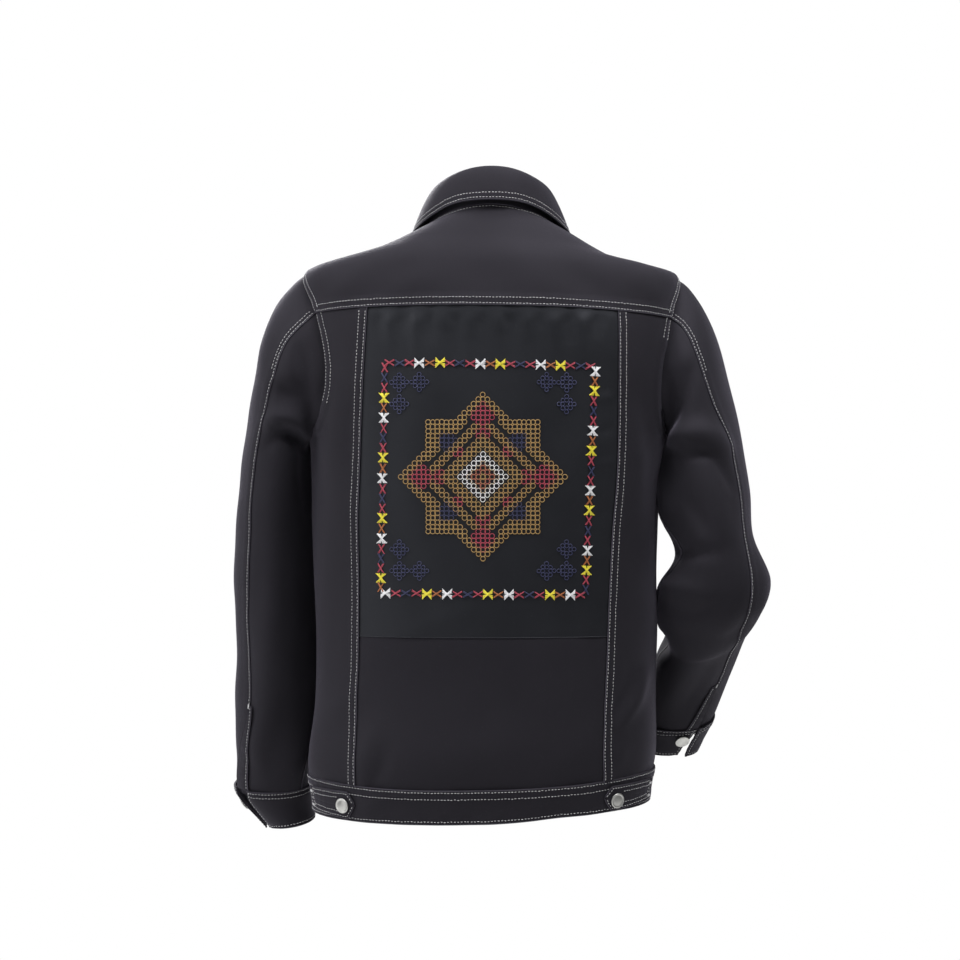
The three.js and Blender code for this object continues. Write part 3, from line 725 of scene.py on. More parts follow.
# Back panels. folded is the share of a side panel's edge, from the underarm up, that a fold of the
# sleeve hides and that has no stitch rows.
backBody = {
    "step": 3.8, "insertStep": 2.6, "sideStep": 4.4, "width": 277, "lowerLength": 168, "insertLength": 364,
    "insertHem": 0.0012, "sideWidth": 92, "seamRows": (1.9, 9.2), "armholeRows": (1.9, 9.4),
    "folded": {1: 0.13, -1: 0.235},
    "creases": [
        (150, -640, 128, -560, 12, 1.6), (134, -628, 116, -585, 8, -1.2), (-172, -504, -144, -560, 8, 3.0),
        (-156, -500, -134, -548, 7, -1.8), (-146, -575, -126, -622, 10, 1.6), (168, -330, 176, -180, 16, 1.8),
        (150, -300, 152, -200, 13, -1.5), (-176, -330, -168, -190, 14, -1.8),
        (-160, -320, -158, -215, 12, 1.4), (60, -600, -40, -570, 26, 1.2), (-60, -615, -120, -560, 16, 0.9),
        (170, -470, 160, -380, 22, -1.4), (-170, -480, -160, -400, 20, 1.2),
        (186, -560, 150, -520, 14, 1.1), (20, -520, 90, -500, 30, -1.0),
    ],
}


# The middle of the back between its two long seams, from one level up to another.
def backMiddle(ups, low, high, step):
    shares = np.linspace(-1, 1, round(backBody["width"] / step))[:, None]
    ats = low + (high - low) * ups[None]
    return bodyPoint(seamTurn(ats, shares), ats)


def makeBack():
    step, fine, creases = backBody["step"], backBody["insertStep"], backBody["creases"]
    # The lower panel and the insert lie under the side panels.
    base = backMiddle(np.linspace(0, 1, round(backBody["lowerLength"] / step)), waistAt, insertAt, step)
    sewPanel("back_lower", base, sewn("start end low high", "under"), rise=flatCreases(base, creases), seed=3)
    ups = np.linspace(0, 1, round(backBody["insertLength"] / fine))
    base = backMiddle(np.insert(ups, 1, backBody["insertHem"]), insertAt, yokeAt, fine)
    seams = sewn("start end high", "under") + sewn("low", "over", lap=0.2, worn=0)
    rise = flatCreases(base, creases) + insertPuckers(base)
    insert = sewPanel("back_insert", base, seams, slot="satin", rise=rise, seed=3)
    for side, name in ((1, "left"), (-1, "right")):
        edges = panelEdge(side, True, step)
        split = edges["split"]
        folded = split + backBody["folded"][side]
        across = ticks(backBody["sideWidth"], backBody["sideStep"])[:, None]
        turns = mixOf(seamTurn(edges["at"], side)[None], edges["turn"][None], across)
        base = bodyPoint(turns, edges["at"][None])
        seams = sewn("start", "over", backBody["seamRows"]) + sewn("end", "over", part=(split, folded))
        seams += sewn("end", "over", backBody["armholeRows"], part=(folded, 1))
        seams += sewn("end", "plain", part=(0, split)) + sewn("high low", "under")
        sewPanel(f"back_side_{name}", base, seams, rise=flatCreases(base, creases), seed=3)
    return insert


# Rows of a side or front panel: up the side seam, then round the armhole to the yoke, or on over the
# shoulder to the neck.
sideSeam = {"length": 391, "toYoke": 118, "toShoulder": 193, "crowding": 1.25, "shoulderRows": 26}


def panelEdge(side, onBack, step):
    plain = np.linspace(waistAt, underarmAt, round(sideSeam["length"] / step))[:-1]
    last, reach = (shape["yokeTurn"], "toYoke") if onBack else (0, "toShoulder")
    loop = np.linspace(180, last, round(sideSeam[reach] / step * sideSeam["crowding"]) + 1)
    at, turn = armholeSpot(loop if onBack else 360 - loop, side)
    ats, turns = [plain, at], [np.full(len(plain), side * 90.0), turn]
    if not onBack:
        ats.append(np.linspace(tipAt, neckAt, sideSeam["shoulderRows"])[1:])
        turns.append(shoulderTurn(ats[-1], side))
    ats, turns = np.concatenate(ats), np.concatenate(turns)
    last = len(ats) - 1
    return {"at": ats, "turn": turns, "split": len(plain) / last, "top": (len(plain) + len(at) - 1) / last}


# Soft upright puckers below the yoke seam, as x, length, width and height, small pulls beside the
# long seams, as x, z, length and height, and broad, low folds.
insertFolds = {
    "top": -96, "calmFrom": -100, "calmRamp": 15, "calm": 0.2, "puckerHeight": 2.1, "pullWidth": 5.5,
    "puckers": [
        (112, 46, 6, 1.1), (98, 30, 5, -0.9), (83, 62, 7, 1.3), (66, 38, 5, -1.0), (52, 26, 5, 0.9),
        (37, 55, 7, -1.1), (24, 34, 6, 1.0), (8, 48, 7, -0.8), (-8, 28, 5, 1.1), (-23, 58, 8, -1.2),
        (-40, 36, 6, 1.2), (-55, 24, 5, -0.8), (-69, 50, 7, 1.2), (-86, 40, 6, -1.2), (-101, 60, 7, 1.2),
        (-117, 33, 5, -0.9), (124, 36, 6, -0.8), (119, 17, 3, 0.6), (105, 13, 3, 0.55), (91, 20, 3.5, -0.6),
        (75, 15, 3, 0.6), (59, 21, 3.5, 0.6), (45, 14, 3, -0.55), (31, 18, 3, 0.6), (16, 13, 3, 0.5),
        (1, 20, 3.5, 0.6), (-15, 15, 3, -0.55), (-31, 19, 3, 0.6), (-47, 13, 3, 0.5), (-62, 20, 3.5, 0.65),
        (-78, 14, 3, 0.55), (-94, 19, 3.5, 0.6), (-109, 14, 3, 0.5), (-124, 20, 3.5, -0.6),
    ],
    "pulls": [
        (-128, -196, 24, 1.0), (-128, -232, 16, -0.9), (-130, -268, 28, 1.0), (-129, -322, 18, -0.8),
        (-128, -371, 22, 0.9), (-128, -428, 18, -0.8), (126, -214, 20, 0.9), (128, -290, 26, -0.8),
        (127, -352, 17, 0.8), (126, -410, 24, 0.8),
    ],
    "broad": [
        (70, -150, 84, -330, 22, 1.1), (-76, -140, -60, -300, 20, -1.3), (10, -170, -6, -420, 30, 0.9),
        (104, -340, 60, -440, 18, -1.0), (-96, -330, -112, -450, 17, 1.1), (-30, -420, -90, -448, 14, -0.9),
        (30, -438, 100, -452, 12, 0.9),
    ],
}


def insertPuckers(points):
    flat, top = points * (1, 0, 1), insertFolds["top"]
    rise = flatCreases(points, insertFolds["broad"])
    below = (insertFolds["calmFrom"] - points[..., 2]) / insertFolds["calmRamp"]
    calm = mixOf(insertFolds["calm"], 1, smoothStep(below))
    for x, length, width, height in insertFolds["puckers"]:
        line = np.array([(x, 0, top), (x + 1.5, 0, top - length * 0.5), (x - 1, 0, top - 4 - length)])
        away, place = toLine(flat, line)
        rise += insertFolds["puckerHeight"] * height * bell(away, width) * (1 - place) ** 0.8 * calm
    for x, z, length, height in insertFolds["pulls"]:
        line = np.array([(x, 0, z), (x - math.copysign(length, x), 0, z - 5)])
        away, place = toLine(flat, line)
        rise += height * bell(away, insertFolds["pullWidth"]) * (1 - place)
    return rise


# The yoke spans both shoulders, from the insert's seam up to the neck.
yokeLook = {
    "step": 3.8, "width": 420, "armholeRanks": 16, "shoulderRanks": 40, "hemShare": 0.34, "hemLength": 75,
    "hemStep": 3.6, "restRanks": 38, "hemRows": (1.9, 8.4), "armholeRows": (1.9, 9.2), "shoulderRows": (1.9,),
    "neckRows": (2.6,),
    "creases": [
        (120, -84, 70, -62, 14, 0.9), (-128, -86, -84, -58, 15, -0.9), (178, -92, 150, -60, 15, 1.2),
        (-184, -92, -160, -52, 14, 1.1), (30, -66, -26, -62, 20, -0.8), (96, -30, 70, 0, 14, 0.8),
        (-96, -34, -66, -4, 14, 0.8),
    ],
}


def makeYoke():
    look = yokeLook
    loop = np.linspace(shape["yokeTurn"], 0, look["armholeRanks"])
    shoulder = np.linspace(tipAt, neckAt, look["shoulderRanks"])[1:]
    ats = np.concatenate([armholeSpot(loop, 1)[0], shoulder])
    left, right = (
        np.concatenate([armholeSpot(loop, side)[1], shoulderTurn(shoulder, side)]) for side in (1, -1))
    shares = ticks(look["width"], look["step"]) * 2 - 1
    centre = seamTurn(yokeAt, 0) * np.clip(1 - ats + yokeAt, 0, 1)
    turns = np.array([mixOf(centre, left if share > 0 else right, abs(share)) for share in shares])
    # The ranks are closer together near the seam with the insert.
    hem = ticks(look["hemLength"], look["hemStep"], True, False)[:-1] * look["hemShare"]
    ranks = np.arange(len(ats))
    fine = np.interp(np.concatenate([hem, np.linspace(look["hemShare"], 1, look["restRanks"])]),
                     np.linspace(0, 1, len(ats)), ranks)
    turns = np.stack([np.interp(fine, ranks, row) for row in turns])
    ats = np.interp(fine, ranks, ats)
    base = bodyPoint(turns, ats[None])
    corner = float(np.interp(tipAt, ats, np.arange(len(ats)))) / (len(ats) - 1)
    seams = sewn("low", "over", look["hemRows"])
    seams += sewn("start end", "over", look["armholeRows"], part=(0, corner))
    seams += sewn("start end", "over", look["shoulderRows"], part=(corner, 1))
    seams += sewn("high", "plain", look["neckRows"])
    sewPanel("back_yoke", base, seams, rise=flatCreases(base, look["creases"]), seed=3)


# The plain, hidden front. The left half buttons over the right.
frontLook = {
    "step": 6.0, "width": 235, "armholeRows": (1.9, 9.2),
    "bandLength": 640, "bandWidth": 36, "bandStep": 5, "bandRanks": 3.5, "bandRow": 2.2,
    "creases": [
        (150, -612, 92, -470, 18, 2.6), (128, -616, 84, -520, 12, -1.8), (-156, -604, -96, -468, 20, 2.4),
        (-132, -612, -92, -530, 12, -1.6), (112, -300, 168, -176, 16, 2.8), (92, -330, 150, -216, 12, -2.0),
        (-108, -316, -166, -186, 17, -2.4), (-92, -296, -146, -180, 13, 2.2), (66, -196, 112, -118, 20, -1.6),
        (-66, -190, -104, -112, 18, 1.6), (-80, -430, -140, -384, 18, 2.0), (92, -404, 156, -360, 16, -2.0),
        (60, -560, 110, -440, 22, 1.4), (-58, -540, -40, -430, 18, -1.2),
    ],
}


def makeFronts():
    look = frontLook
    for side, name in ((1, "left"), (-1, "right")):
        edges = panelEdge(side, False, look["step"])
        ats, split, top = edges["at"][None], edges["split"], edges["top"]
        across = ticks(look["width"], look["step"])[:, None]
        turns = mixOf(edges["turn"][None], side * bandTurn(ats, 1), across)
        base = bodyPoint(turns, ats)
        rise = flatCreases(base, look["creases"]) + (overlapRise(base, turns) if side > 0 else 0)
        seams = sewn("start", "plain", part=(0, split))
        seams += sewn("start", "over", look["armholeRows"], part=(split, top))
        seams += sewn("start", "under", part=(top, 1)) + sewn("end low high", "plain")
        sewPanel(f"front_{name}", base, seams, rise=rise, seed=3)
        ats = np.linspace(waistAt, neckAt, round(look["bandLength"] / look["bandStep"]))[None]
        shares = ticks(look["bandWidth"], look["bandRanks"])[:, None] * -2 + 1
        base = bodyPoint(side * bandTurn(ats, shares), ats)
        sewPanel(f"front_band_{name}", base, sewn("start end", "free", (look["bandRow"],), lap=0.3),
                 rise=shape["overlapLift"] if side > 0 else 0, thickness=doubled - 0.4, calm=0.25,
                 seed=25 + side)


# The waistband goes once round the hem, with its ends at the centre front.
waistbandLook = {
    "step": 5.0, "ranks": 4, "length": 1080, "width": 37, "rows": (1.9, 9.4), "hemRow": 3.0,
    "climb": 4.5, "climbFrom": 10, "climbReach": 110, "frontLevel": -60, "frontReach": 90,
    "creases": [
        (150, -655, 120, -640, 10, 1.0), (-130, -650, -100, -640, 12, 1.0), (40, -660, -10, -645, 18, -0.8),
    ],
}


# A grid round the waist, raised to lie over the body, and over the buttoned front.
def bandBase(turns, ats, lift=0.0):
    base = bodyPoint(turns, ats)
    height = shape["bandLift"] + lift + np.where(turns > 0, overlapRise(base, turns), 0)
    return raised(base, bodyHollow(base), height)


# How far the hem climbs to the right of the centre back.
def hemClimb(base):
    look = waistbandLook
    return look["climb"] * smoothStep((look["climbFrom"] - base[..., 0]) / look["climbReach"])


def makeWaistband():
    look = waistbandLook
    ats = ticks(look["width"], look["ranks"])[None]
    turns = np.linspace(-1, 1, round(look["length"] / look["step"]))[:, None] * (360 - bandTurn(ats, 1))
    base = bandBase(turns, ats)
    behind = smoothStep((base[..., 1] - look["frontLevel"]) / look["frontReach"])
    base[..., 2] += hemClimb(base) * behind * (1 - ats)
    seams = sewn("high", "over", look["rows"], lap=0.5, rope=0.3)
    seams += sewn("low", "free", (look["hemRow"],), lap=0.3, rope=0.24)
    seams += sewn("start end", "free", (look["hemRow"],), lap=0.2)
    sewPanel("waistband", base, seams, "waistband", thickness=doubled, calm=0.6, size=60, seed=31,
             rise=flatCreases(base, look["creases"]))


# The tabs that draw the hem in. A station is a place along the tab, its low edge and its high edge.
tabLook = {
    "stations": ((0.02, 0.46, 0.58), (0.28, 0.1, 0.82), (1, 0.14, 0.8), (2, 0.2, 0.78), (2.85, 0.26, 0.76)),
    "point": (0.02, 0.06, 0.1, 0.15, 0.21, 0.28), "end": 2.66, "rows": 26, "width": 26, "ranks": 3,
    "edgeRow": 2.0, "innerRow": 6.8, "innerFrom": 0.34, "endRows": (2.4, 7.5), "tack": (6, 3),
    "tackColumns": (3, -4),
}


def makeTabs():
    stations = np.array(tabLook["stations"])
    point, rest = tabLook["point"], np.linspace(tabLook["point"][-1], tabLook["end"], tabLook["rows"])
    along = np.concatenate([point, rest[1:]])[:, None]
    low, high = (np.interp(along, stations[:, 0], stations[:, k]) for k in (1, 2))
    ats = mixOf(low, high, ticks(tabLook["width"], tabLook["ranks"])[None])
    seams = sewn("low high", "free", (tabLook["edgeRow"],), lap=0.0, trim=(0, 2))
    seams += sewn("low high", "plain", (tabLook["innerRow"],), part=(tabLook["innerFrom"], 1), trim=(0, 6))
    seams += sewn("end", "free", tabLook["endRows"], lap=0.0, trim=(2, 2))
    for side, name in ((1, "left"), (-1, "right")):
        base = bandBase(mixOf(seamTurn(ats, side), side * 90, along / 4), ats, gap + doubled)
        base[..., 2] += hemClimb(base) * (1 - ats)
        panel = sewPanel(f"hem_tab_{name}", base, seams, "waistband", thickness=doubled - 0.2, calm=0.15,
                         rise=0.35, seed=35)
        for column in tabLook["tackColumns"]:
            ahead = panel["base"][-1, column] - panel["base"][-4, column]
            spot, out = panel["outer"][-3, column], panel["out"][-3, column]
            barTack("waistband", spot, ahead, out, *tabLook["tack"])


# The collar's fold, and the leaf's lower edge as a turn, a level and its lift off the body.
foldRing = {
    "zBack": 65, "zSide": 49, "zFront": -40, "halfWidth": 63, "backDepth": 66, "frontDepth": 82,
    "square": 2.05, "shift": 1, "tilt": 0,
}
leafEdge = table("turn level lift", [
    [0, 12, 10], [30, 11.97, 8.5], [60, 11.84, 6], [90, 11.72, 4], [119, 11.6, 4], [142, 11.35, 4],
    [158, 11.0, 4.5],
])
collarLook = {
    "length": 470, "step": 4.2, "standRows": 12, "standInside": 1.8, "leafInside": 2.6, "roll": 2.5,
    "leafLength": 30, "leafStep": 3.5, "rollShare": 0.72, "rollRows": 17, "rows": (2.4, 7.8),
}


def foldPoint(turn, inside):
    fold = ringPoint(foldRing, turn)
    outside = unit((fold - (foldRing["shift"], 0, 0)) * (1, 1, 0))
    return fold - outside * inside, outside


def makeCollar():
    look = collarLook
    end = float(bandTurn(neckAt, shape["collarEnd"]))
    turns = mixOf(-end, end, ticks(look["length"], look["step"]))[:, None]
    # The stand rises from the neck seam to the fold.
    fold = foldPoint(turns, look["standInside"])[0]
    ahead = foldPoint(turns + 1, look["standInside"])[0] - foldPoint(turns - 1, look["standInside"])[0]
    steep = np.linalg.norm(ahead, axis=-1) / np.hypot(ahead[..., 0], ahead[..., 1])
    fold[..., 2] -= (doubled + 1.5 * gap) * steep
    ups = np.linspace(0, 1, look["standRows"])[None, :, None]
    stand = mixOf(bodyPoint(turns, float(neckAt)), fold, ups)
    sewPanel("collar_stand", stand, sewn("low", "plain"), thickness=doubled, calm=0.3, seed=44)
    # The leaf turns over the fold and spreads to its edge.
    station = between(leafEdge, np.abs(turns) / 30)
    edgeTurn, level = np.where(turns < 0, -1, 1) * station["turn"], station["level"]
    upward = bodyPoint(edgeTurn, level + 0.02) - bodyPoint(edgeTurn, level - 0.02)
    sideways = bodyPoint(edgeTurn + 0.4, level) - bodyPoint(edgeTurn - 0.4, level)
    spots = bodyPoint(edgeTurn, level) + unit(np.cross(upward, sideways)) * station["lift"][..., None]
    start, outside = foldPoint(turns, look["leafInside"])
    reach = np.hypot(*(spots - start)[..., :2].transpose(2, 0, 1))[..., None]
    roll = start + outside * (0.25 * reach + look["roll"] + look["leafInside"])
    rest = mixOf(look["rollShare"], 1, ticks(look["leafLength"], look["leafStep"], False, True))
    down = np.concatenate([np.linspace(0, look["rollShare"], look["rollRows"])[:-1], rest])[None, :, None]
    leaf = start * (1 - down) ** 2 + roll * 2 * down * (1 - down) + spots * down ** 2
    seams = sewn("high", "free", look["rows"], lap=0.25, rope=0.22)
    seams += sewn("start end", "free", look["rows"], lap=0.25)
    sewPanel("collar_leaf", leaf, seams, "collar", bodyHollow(leaf) - (0, 0, 40), thickness=doubled - 0.2,
             calm=0.35, size=70, seed=47)


# Each sleeve is a run of slanted rings, from the armhole down to the cuff.
sleeveNames = "outerX outerY outerZ innerX innerY innerZ halfDepth roll"
leftArm = table(sleeveNames, [
    [211.5, -9, -49, 208, 0, -238, 72, 0], [227, -5, -62, 210, -1, -241, 73, 2],
    [248, -4, -87, 211, -3, -245, 73, 6], [261, -5, -121, 211, -5, -251, 72, 12],
    [270.5, -7, -165, 210, -8, -262, 70, 9], [281, -9, -216, 209.5, -11, -284, 67, 2],
    [290, -12, -272, 209, -14, -318, 64, -2], [297, -15, -340, 208.5, -18, -362, 61, -5],
    [299, -19, -408, 207, -23, -415, 59, -10], [297, -24, -474, 206.5, -28, -476, 56, -13],
    [298, -31, -542, 209, -34, -542, 51, -10], [298, -39, -604, 212.5, -42, -604, 46, -35],
    [297, -46, -650, 212, -49, -650, 43, -40], [262, -50, -689, 209, -52, -682, 40, -44],
])
rightArm = table(sleeveNames, [
    [-210.5, -9, -53, -200, 0, -238, 72, 0], [-226, -3, -66, -203, 0, -241, 73, -1],
    [-246, 2, -97, -205, 1, -245, 73, 1], [-263, 7, -138, -205, 3, -253, 72, 0],
    [-274.5, 13, -190, -203, 6, -270, 69, -8], [-285, 20, -242, -200, 10, -300, 66, -23],
    [-292, 27, -297, -197, 15, -334, 63, -29], [-295, 34, -349, -208, 20, -374, 61, -31],
    [-313, 42, -402, -191, 6, -410, 60, -24], [-305, 28, -440, -192, -16, -436, 58, -24],
    [-291, 6, -472, -203, -44, -462, 55, -34], [-270, -28, -520, -194, -80, -504, 49, -46],
    [-256, -66, -574, -176, -118, -560, 43, -37], [-240, -90, -606, -168, -134, -590, 41, -28],
])
cuffAt = 12  # the section where the cuffs start
capEnd = 5  # the section where a sleeve is free of the armhole's shape


def sectionEnds(arm, at):
    section = between(arm, at)
    ends = [np.stack([section[end + axis] for axis in "XYZ"], axis=-1) for end in ("outer", "inner")]
    return *ends, section


def sleeveRing(look, at, turn):
    outer, inner, section = sectionEnds(look["arm"], at)
    ahead = sum(sectionEnds(look["arm"], at + 0.1)[:2]) / 2 - sum(sectionEnds(look["arm"], at - 0.1)[:2]) / 2
    ahead[..., 1] *= np.clip(at / capEnd, 0, 1)
    across = (outer - inner) / 2
    backward = unit(np.cross(across, ahead)) * (section["halfDepth"] * look["side"])[..., None]
    angle = np.radians(turn + section["roll"])[..., None]
    return (outer + inner) / 2 + across * np.cos(angle) + backward * np.sin(angle)


# A place on the sleeve, whose head is drawn to the armhole.
def sleevePoint(look, turn, at):
    turn, at = (np.array(values, float) for values in np.broadcast_arrays(turn, at))
    loopAt, loopTurn = armholeSpot(np.mod(turn, 360), look["side"])
    loop = bodyPoint(loopTurn, loopAt) + (look["side"] * gap, 0, 0)
    hold = (1 - np.clip(at / capEnd, 0, 1)) ** 2
    start = sleeveRing(look, np.zeros_like(at), turn)
    return sleeveRing(look, at, turn) + (loop - start) * hold[..., None]


def sleeveAxis(look, at, turn):
    outer, inner, _ = sectionEnds(look["arm"], at)
    return np.broadcast_to((outer + inner) / 2, np.broadcast(at, turn).shape + (3,))


# Creases of the sleeves, each as turn, section, turn, section and so on, then width and height. Turn
# 90 faces the back and 180 the body. upperRows are the stitch rows of the upper sleeve's back seam.
leftSleeve = {
    "arm": leftArm, "side": 1,
    "creases": [
        (76, 4.35, 90, 3.65, 104, 3.0, 130, 2.1, 160, 1.95, 11, 9.5), (74, 3.1, 92, 2.4, 112, 1.8, 11, -5.0),
        (80, 5.0, 95, 4.3, 110, 3.75, 135, 3.05, 165, 2.9, 8, -5.0), (79, 1.3, 100, 1.35, 118, 1.5, 9, -3.4),
        (62, 1.5, 75, 1.9, 90, 2.3, 11, 3.0), (133, 3.3, 148, 4.6, 158, 6.4, 13, -3.2),
        (178, 4.2, 180, 6, 179, 9, 178, 11.2, 22, 5.2), (112, 4.6, 100, 5.6, 96, 7.0, 14, 2.6),
        (128, 5.4, 122, 7.4, 126, 9.0, 13, -2.0), (48, 4.4, 56, 5.6, 60, 6.6, 15, 1.8),
        (84, 6.6, 80, 8.0, 74, 9.4, 15, -2.0), (100, 8.0, 94, 9.4, 98, 10.8, 16, 2.4),
        (76, 9.8, 90, 10.6, 110, 11.2, 12, 1.8), (118, 9.8, 124, 10.6, 130, 11.6, 11, -1.8),
        (52, 8.2, 60, 9.2, 64, 10.4, 13, -1.6), (172, 9.0, 172, 10.4, 172, 11.7, 15, 6.0),
        (122, 0.6, 128, 1.2, 140, 1.9, 9, -3.0), (-60, 2.0, -90, 3.0, -120, 4.2, 16, 3.0),
        (-70, 5.0, -100, 5.4, -130, 6.0, 15, -2.4), (-50, 8.0, -90, 8.3, -120, 8.8, 15, 2.4),
        (-60, 10.6, -90, 10.2, -110, 10.0, 13, 1.8),
    ],
    "upperRows": ((1.9, (0, 0.86)), (6.0, (0, 0.24))),
}
rightSleeve = {
    "arm": rightArm, "side": -1,
    "creases": [
        (150, 3.1, 122, 3.85, 96, 4.45, 72, 5.05, 15, 9.0),
        (146, 4.05, 118, 4.75, 93, 5.2, 76, 5.95, 7, -4.5), (78, 2.3, 102, 2.65, 125, 3.0, 8, -3.6),
        (72, 1.4, 88, 2.0, 12, 3.2), (106, 0.5, 122, 1.3, 142, 2.3, 10, -5.0),
        (168, 2.2, 170, 3.3, 174, 4.6, 178, 5.6, 180, 6.2, 16, 14.0), (120, 5.2, 104, 6.0, 98, 6.8, 13, 3.2),
        (140, 5.8, 128, 6.4, 118, 6.9, 9, -2.6), (186, 6.95, 165, 7.0, 135, 7.1, 108, 7.2, 8, -5.0),
        (182, 7.75, 150, 7.8, 116, 7.9, 12, 5.0), (150, 8.2, 120, 8.25, 98, 8.1, 7, -2.4),
        (196, 9.75, 178, 9.5, 162, 9.3, 8, -6.0), (158, 9.3, 140, 9.0, 118, 8.7, 14, -1.2),
        (158, 9.85, 180, 9.95, 202, 10.0, 11, -7.0), (84, 7.0, 76, 7.8, 80, 8.6, 14, 2.4),
        (60, 8.4, 76, 9.2, 84, 10.2, 13, -1.8), (112, 9.8, 124, 10.6, 132, 11.6, 12, 2.0),
        (88, 10.2, 96, 11.0, 100, 11.8, 10, -1.6), (-60, 2.0, -90, 3.0, -120, 4.2, 16, 3.0),
        (-80, 5.2, -110, 5.8, -140, 6.4, 15, -2.6), (-60, 7.4, -100, 7.6, -140, 7.8, 13, 4.0),
        (-70, 8.2, -110, 8.3, -150, 8.2, 11, -3.6), (-80, 9.0, -120, 8.8, -150, 8.8, 12, 3.2),
        (-60, 10.6, -90, 10.4, -110, 10.2, 13, 1.8),
    ],
    "upperRows": ((1.9, (0, 0.92)), (6.2, (0, 0.26))),
}
sleeveGrid = {
    "headRows": (0, 0.05, 0.11, 0.2), "rows": 118, "hemRows": (-0.2, -0.1, 0.03), "underColumns": 30,
    "upperColumns": 52, "seamFrom": 14, "seamTurns": (-11, -9, -7, -5, -3.2, -1.6, 0), "fadeIn": 1.2,
    "fadeOut": 0.7,
}


# Creases die out at the armhole and at the cuff.
def sleeveRise(points, look, ats, last):
    rise = np.zeros(points.shape[:-1])
    run = np.linspace(0, 1, 10)
    for *places, width, height in look["creases"]:
        turns, sections = np.reshape(places, (-1, 2)).T
        marks = np.linspace(0, 1, len(turns))
        line = sleevePoint(look, np.interp(run, marks, turns), np.interp(run, marks, sections))
        rise += creaseRise(points, line, width, height)
    fadeIn, fadeOut = ats / sleeveGrid["fadeIn"], (last - ats) / sleeveGrid["fadeOut"]
    return rise * np.clip(fadeIn, 0, 1) * np.clip(fadeOut, 0, 1)


def makeSleeves():
    grid, seam = sleeveGrid, shape["yokeTurn"]
    under = np.linspace(seam, 180, grid["underColumns"])[:, None]
    upper = np.linspace(-180, seam - grid["seamFrom"], grid["upperColumns"])
    upper = np.concatenate([upper, seam + np.array(grid["seamTurns"])])[:, None]
    for name, look in (("left", leftSleeve), ("right", rightSleeve)):
        cuffStart = cuffAt - cuffLook[name]["taken"]
        rows = np.linspace(0.3, cuffStart - 0.3, grid["rows"])
        ats = np.concatenate([grid["headRows"], rows, cuffStart + np.array(grid["hemRows"])])[None]
        tucks = sewn("low high", "under")
        (first, reach), (second, shortReach) = look["upperRows"]
        upperSeams = tucks + sewn("end", "over", (first,), part=reach, lap=0.55)
        upperSeams += sewn("end", "over", (second,), part=shortReach, lap=0) + sewn("start", "plain")
        underSeams = tucks + sewn("start", "under") + sewn("end", "plain")
        for part, turns, seams in (("upper", upper, upperSeams), ("under", under, underSeams)):
            base = sleevePoint(look, turns, ats)
            rise = sleeveRise(base, look, ats, cuffStart)
            sewPanel(f"sleeve_{name}_{part}", base, seams, "sleeves", sleeveAxis(look, ats, turns), rise=rise,
                     calm=1.0, size=80, seed=51 + look["side"] * 2)
        makePlacket(name, look)
        makeCuff(name, look)


# A placket widens toward the cuff. Each pair is a section and the placket's width there, in degrees.
placketLook = {
    "length": 22, "step": 2, "rows": 48, "lift": 1.5, "row": 2.6, "tack": (5, 2.2),
    "left": ((10.0, 6), (10.5, 15), (11, 25), (12, 31)), "right": ((11.0, 8), (11.5, 14), (12, 20)),
}


def makePlacket(name, look):
    plan = np.array(placketLook[name], float)
    ats = np.linspace(plan[0, 0], cuffAt - cuffLook[name]["taken"], placketLook["rows"])[None]
    widths = np.interp(ats, plan[:, 0], plan[:, 1])
    across = ticks(placketLook["length"], placketLook["step"], False)[:, None]
    turns = shape["yokeTurn"] + widths * across
    base = sleevePoint(look, turns, ats)
    hollow = sleeveAxis(look, ats, turns)
    base = raised(base, hollow, placketLook["lift"] + sleeveRise(base, look, ats, cuffAt))
    seams = sewn("end", "free", (placketLook["row"],), lap=0.2)
    panel = sewPanel(f"sleeve_{name}_placket", base, seams, "sleeves", hollow, calm=0.1, seed=61)
    corner, out = panel["outer"][0, 0], panel["out"][0, 0]
    barTack("sleeves", corner - out * 0.2, base[0, 1] - base[0, 0], out, *placketLook["tack"])


# A cuff's loose end is given at its seam, middle and hem: where it starts, how far it goes past, and
# how far it stands out.
cuffLook = {
    "width": 38, "ranks": 4, "length": 275, "step": 4.6, "lift": 1.1, "openFrom": 0.8, "openOver": 0.15,
    "seamRows": (1.7, 6.4), "edgeRow": 3.0,
    "left": {"stations": ((26, -1, 0.6), (20, -1, 1.8), (12, -2, 3.4)), "taken": 0.2},
    "right": {"stations": ((2, -1, 0.6), (3, -4, 2.4), (2, -9, 5)), "taken": 0.04},
}


def makeCuff(name, look):
    own = cuffLook[name]
    stations = np.array(own["stations"], float)
    downs = ticks(cuffLook["width"], cuffLook["ranks"])
    back, past, lift = (np.interp(downs, (0, 0.5, 1), stations[:, k])[None] for k in range(3))
    shares = ticks(cuffLook["length"], cuffLook["step"])[:, None]
    turns = mixOf(shape["yokeTurn"] + back, shape["yokeTurn"] + 360 + past, shares)
    ats = cuffAt + downs[None] - own["taken"] * (1 - downs[None])
    base = sleevePoint(look, turns, ats)
    hollow = sleeveAxis(look, ats, turns)
    opening = smoothStep((shares - cuffLook["openFrom"]) / cuffLook["openOver"])
    base = raised(base, hollow, cuffLook["lift"] + lift * opening)
    seams = sewn("low", "over", cuffLook["seamRows"], lap=0.5, rope=0.28)
    seams += sewn("high", "free", (cuffLook["edgeRow"],), lap=0.3, rope=0.22)
    seams += sewn("start end", "free", (cuffLook["edgeRow"],), lap=0.2)
    sewPanel(f"cuff_{name}", base, seams, "sleeves", hollow, thickness=doubled - 0.2, calm=0.5, size=50,
             seed=64)


